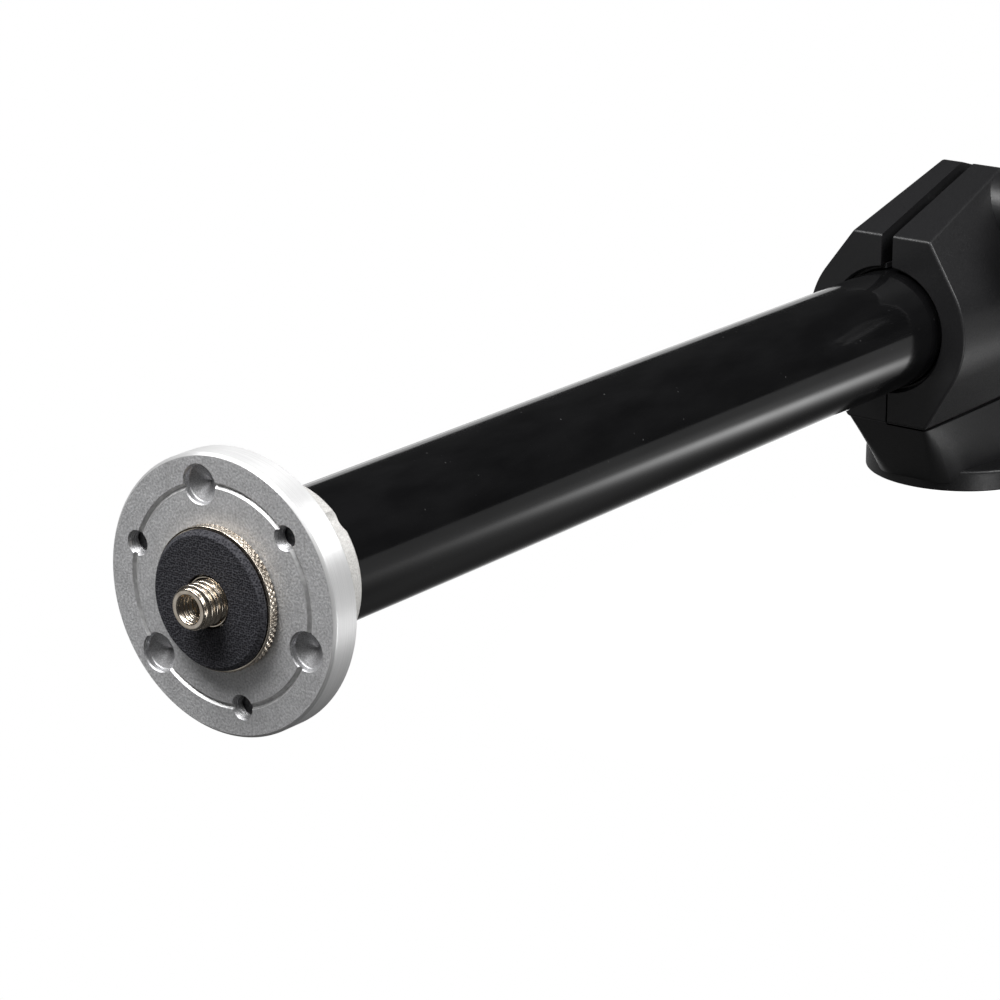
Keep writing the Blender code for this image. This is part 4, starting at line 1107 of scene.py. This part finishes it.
def pool(shading, where, centre, size, turn, glow):
    """A pool of light: glow * e^(-d^2), where d is the distance from its centre in pool sizes."""
    local = add_node(shading, "Mapping", (("vector_type", "TEXTURE"),), Vector=where,
                     Location=(*centre, 0), Rotation=(0, 0, turn), Scale=(*size, 1)).outputs["Vector"]
    far = add_node(shading, "VectorMath", (("operation", "LENGTH"),), Vector=local).outputs["Value"]
    fall = maths(shading, "POWER", math.exp(-1), maths(shading, "POWER", far, 2))
    return maths(shading, "MULTIPLY", fall, glow)


def make_floor():
    """Light = room + table * rise(|y|) * rise(x) + pools. Both rises are smooth steps from 0 to 1."""
    corners = np.array([(-1, -1), (1, -1), (1, 1), (-1, 1)]) * FLOOR_REACH
    corners = np.insert(corners, 2, FLOOR_Z, axis=1)
    finish = new_finish("pale_floor", (0, 0, 0), 1.0, Specular_IOR_Level=0.0, Emission_Color=(1, 1, 1, 1))
    where = add_node(finish, "TexCoord").outputs["Object"]
    axes = add_node(finish, "SeparateXYZ", Vector=where).outputs
    # beside: the glow falls away below the arm, where |y| is small, as a painted shadow of the arm
    beside = mapped(finish, maths(finish, "ABSOLUTE", axes["Y"], 0), 0.15, 0.5, kind="SMOOTHSTEP")
    behind = mapped(finish, axes["X"], -0.5, -0.1, kind="SMOOTHSTEP")
    table = maths(finish, "MULTIPLY", maths(finish, "MULTIPLY", beside, behind), TABLE_GLOW)
    level = maths(finish, "ADD", table, ROOM_GLOW)
    for spot in POOLS:
        level = maths(finish, "ADD", level, pool(finish, where, *spot))
    shader_input(finish, "Emission Strength", camera_sees_white(finish, level))
    new_object("floor", corners, [[0, 1, 2, 3]], [finish])


def make_sky():
    sky = bpy.data.worlds.new("studio")
    bpy.context.scene.world = sky
    sky.use_nodes = True
    feed(sky, sky.node_tree.nodes["Background"].inputs["Color"], camera_sees_white(sky, ROOM_GLOW))


make_floor()
make_sky()

# %% [markdown]
# Six soft lamps light the arm. One hangs over the platform, three stand high to its sides, and one stands
# low and fills the shadows. They keep out of the directions that the tube mirrors, so its upper side stays
# black. The sixth is a wide, pale backdrop far behind, which the tube mirrors only along its upper edge.


# %% The lamps
def soft_light(name, place_at, aim_at, size, radiance):
    """A rectangular lamp. Its power is pi * area * radiance, so lamps of any size can be compared."""
    lamp = bpy.data.lights.new(name, "AREA")
    lamp.shape = "RECTANGLE"
    lamp.size, lamp.size_y = size
    lamp.energy = math.pi * size[0] * size[1] * radiance
    made = in_scene(name, lamp)
    back = np.array(place_at) - np.array(aim_at)
    back /= np.linalg.norm(back)
    side = np.cross(Z, back)
    side /= np.linalg.norm(side)
    turn = np.eye(4)
    turn[:3] = np.stack([side, np.cross(back, side), back, place_at], axis=1)
    made.matrix_world = Matrix(turn.tolist())
    made.visible_camera = False


PLATFORM = (-0.3, 0, 0.05)
CLAMP = (0, 0, 0.06)
soft_light("overhead", (-0.72, 0.08, 1.0), PLATFORM, (0.5, 0.5), 15.5)
soft_light("front_right", (-0.75, -0.51, 0.85), PLATFORM, (0.45, 0.45), 2.6)
soft_light("side", (0.0, -0.75, 0.75), PLATFORM, (0.6, 0.6), 8.0)
soft_light("far_left", (-0.5, 0.65, 0.85), CLAMP, (0.35, 0.35), 11.0)
soft_light("bounce", (-0.24, -0.47, -0.21), PLATFORM, (0.3, 0.3), 3.5)
soft_light("backdrop", (1.15, 1.0, 0.03), CLAMP, (1.6, 0.55), 0.65)

# %% [markdown]
# The camera stands where the photograph was taken from, beside the platform and a little above it. Its
# place, its direction and its long lens were fitted to the platform's rim, the tube's edges and the clamp.

# %% The camera
CAMERA_PLACE = (-0.8210, -0.4599, 0.2879)
CAMERA_AZIMUTH, CAMERA_ELEVATION = -53.23, 17.71
LENS_LENGTH, SENSOR_WIDTH = 130.436, 36  # in mm
lens = bpy.data.cameras.new("camera")
lens.sensor_width = SENSOR_WIDTH
lens.lens = LENS_LENGTH
camera = in_scene("camera", lens)
camera.location = CAMERA_PLACE
camera.rotation_euler = (math.radians(90 - CAMERA_ELEVATION), 0, math.radians(CAMERA_AZIMUTH))
bpy.context.scene.camera = camera
bpy.context.scene.view_settings.view_transform = "Standard"
print("camera at", CAMERA_PLACE, "with a lens of", LENS_LENGTH, "mm")
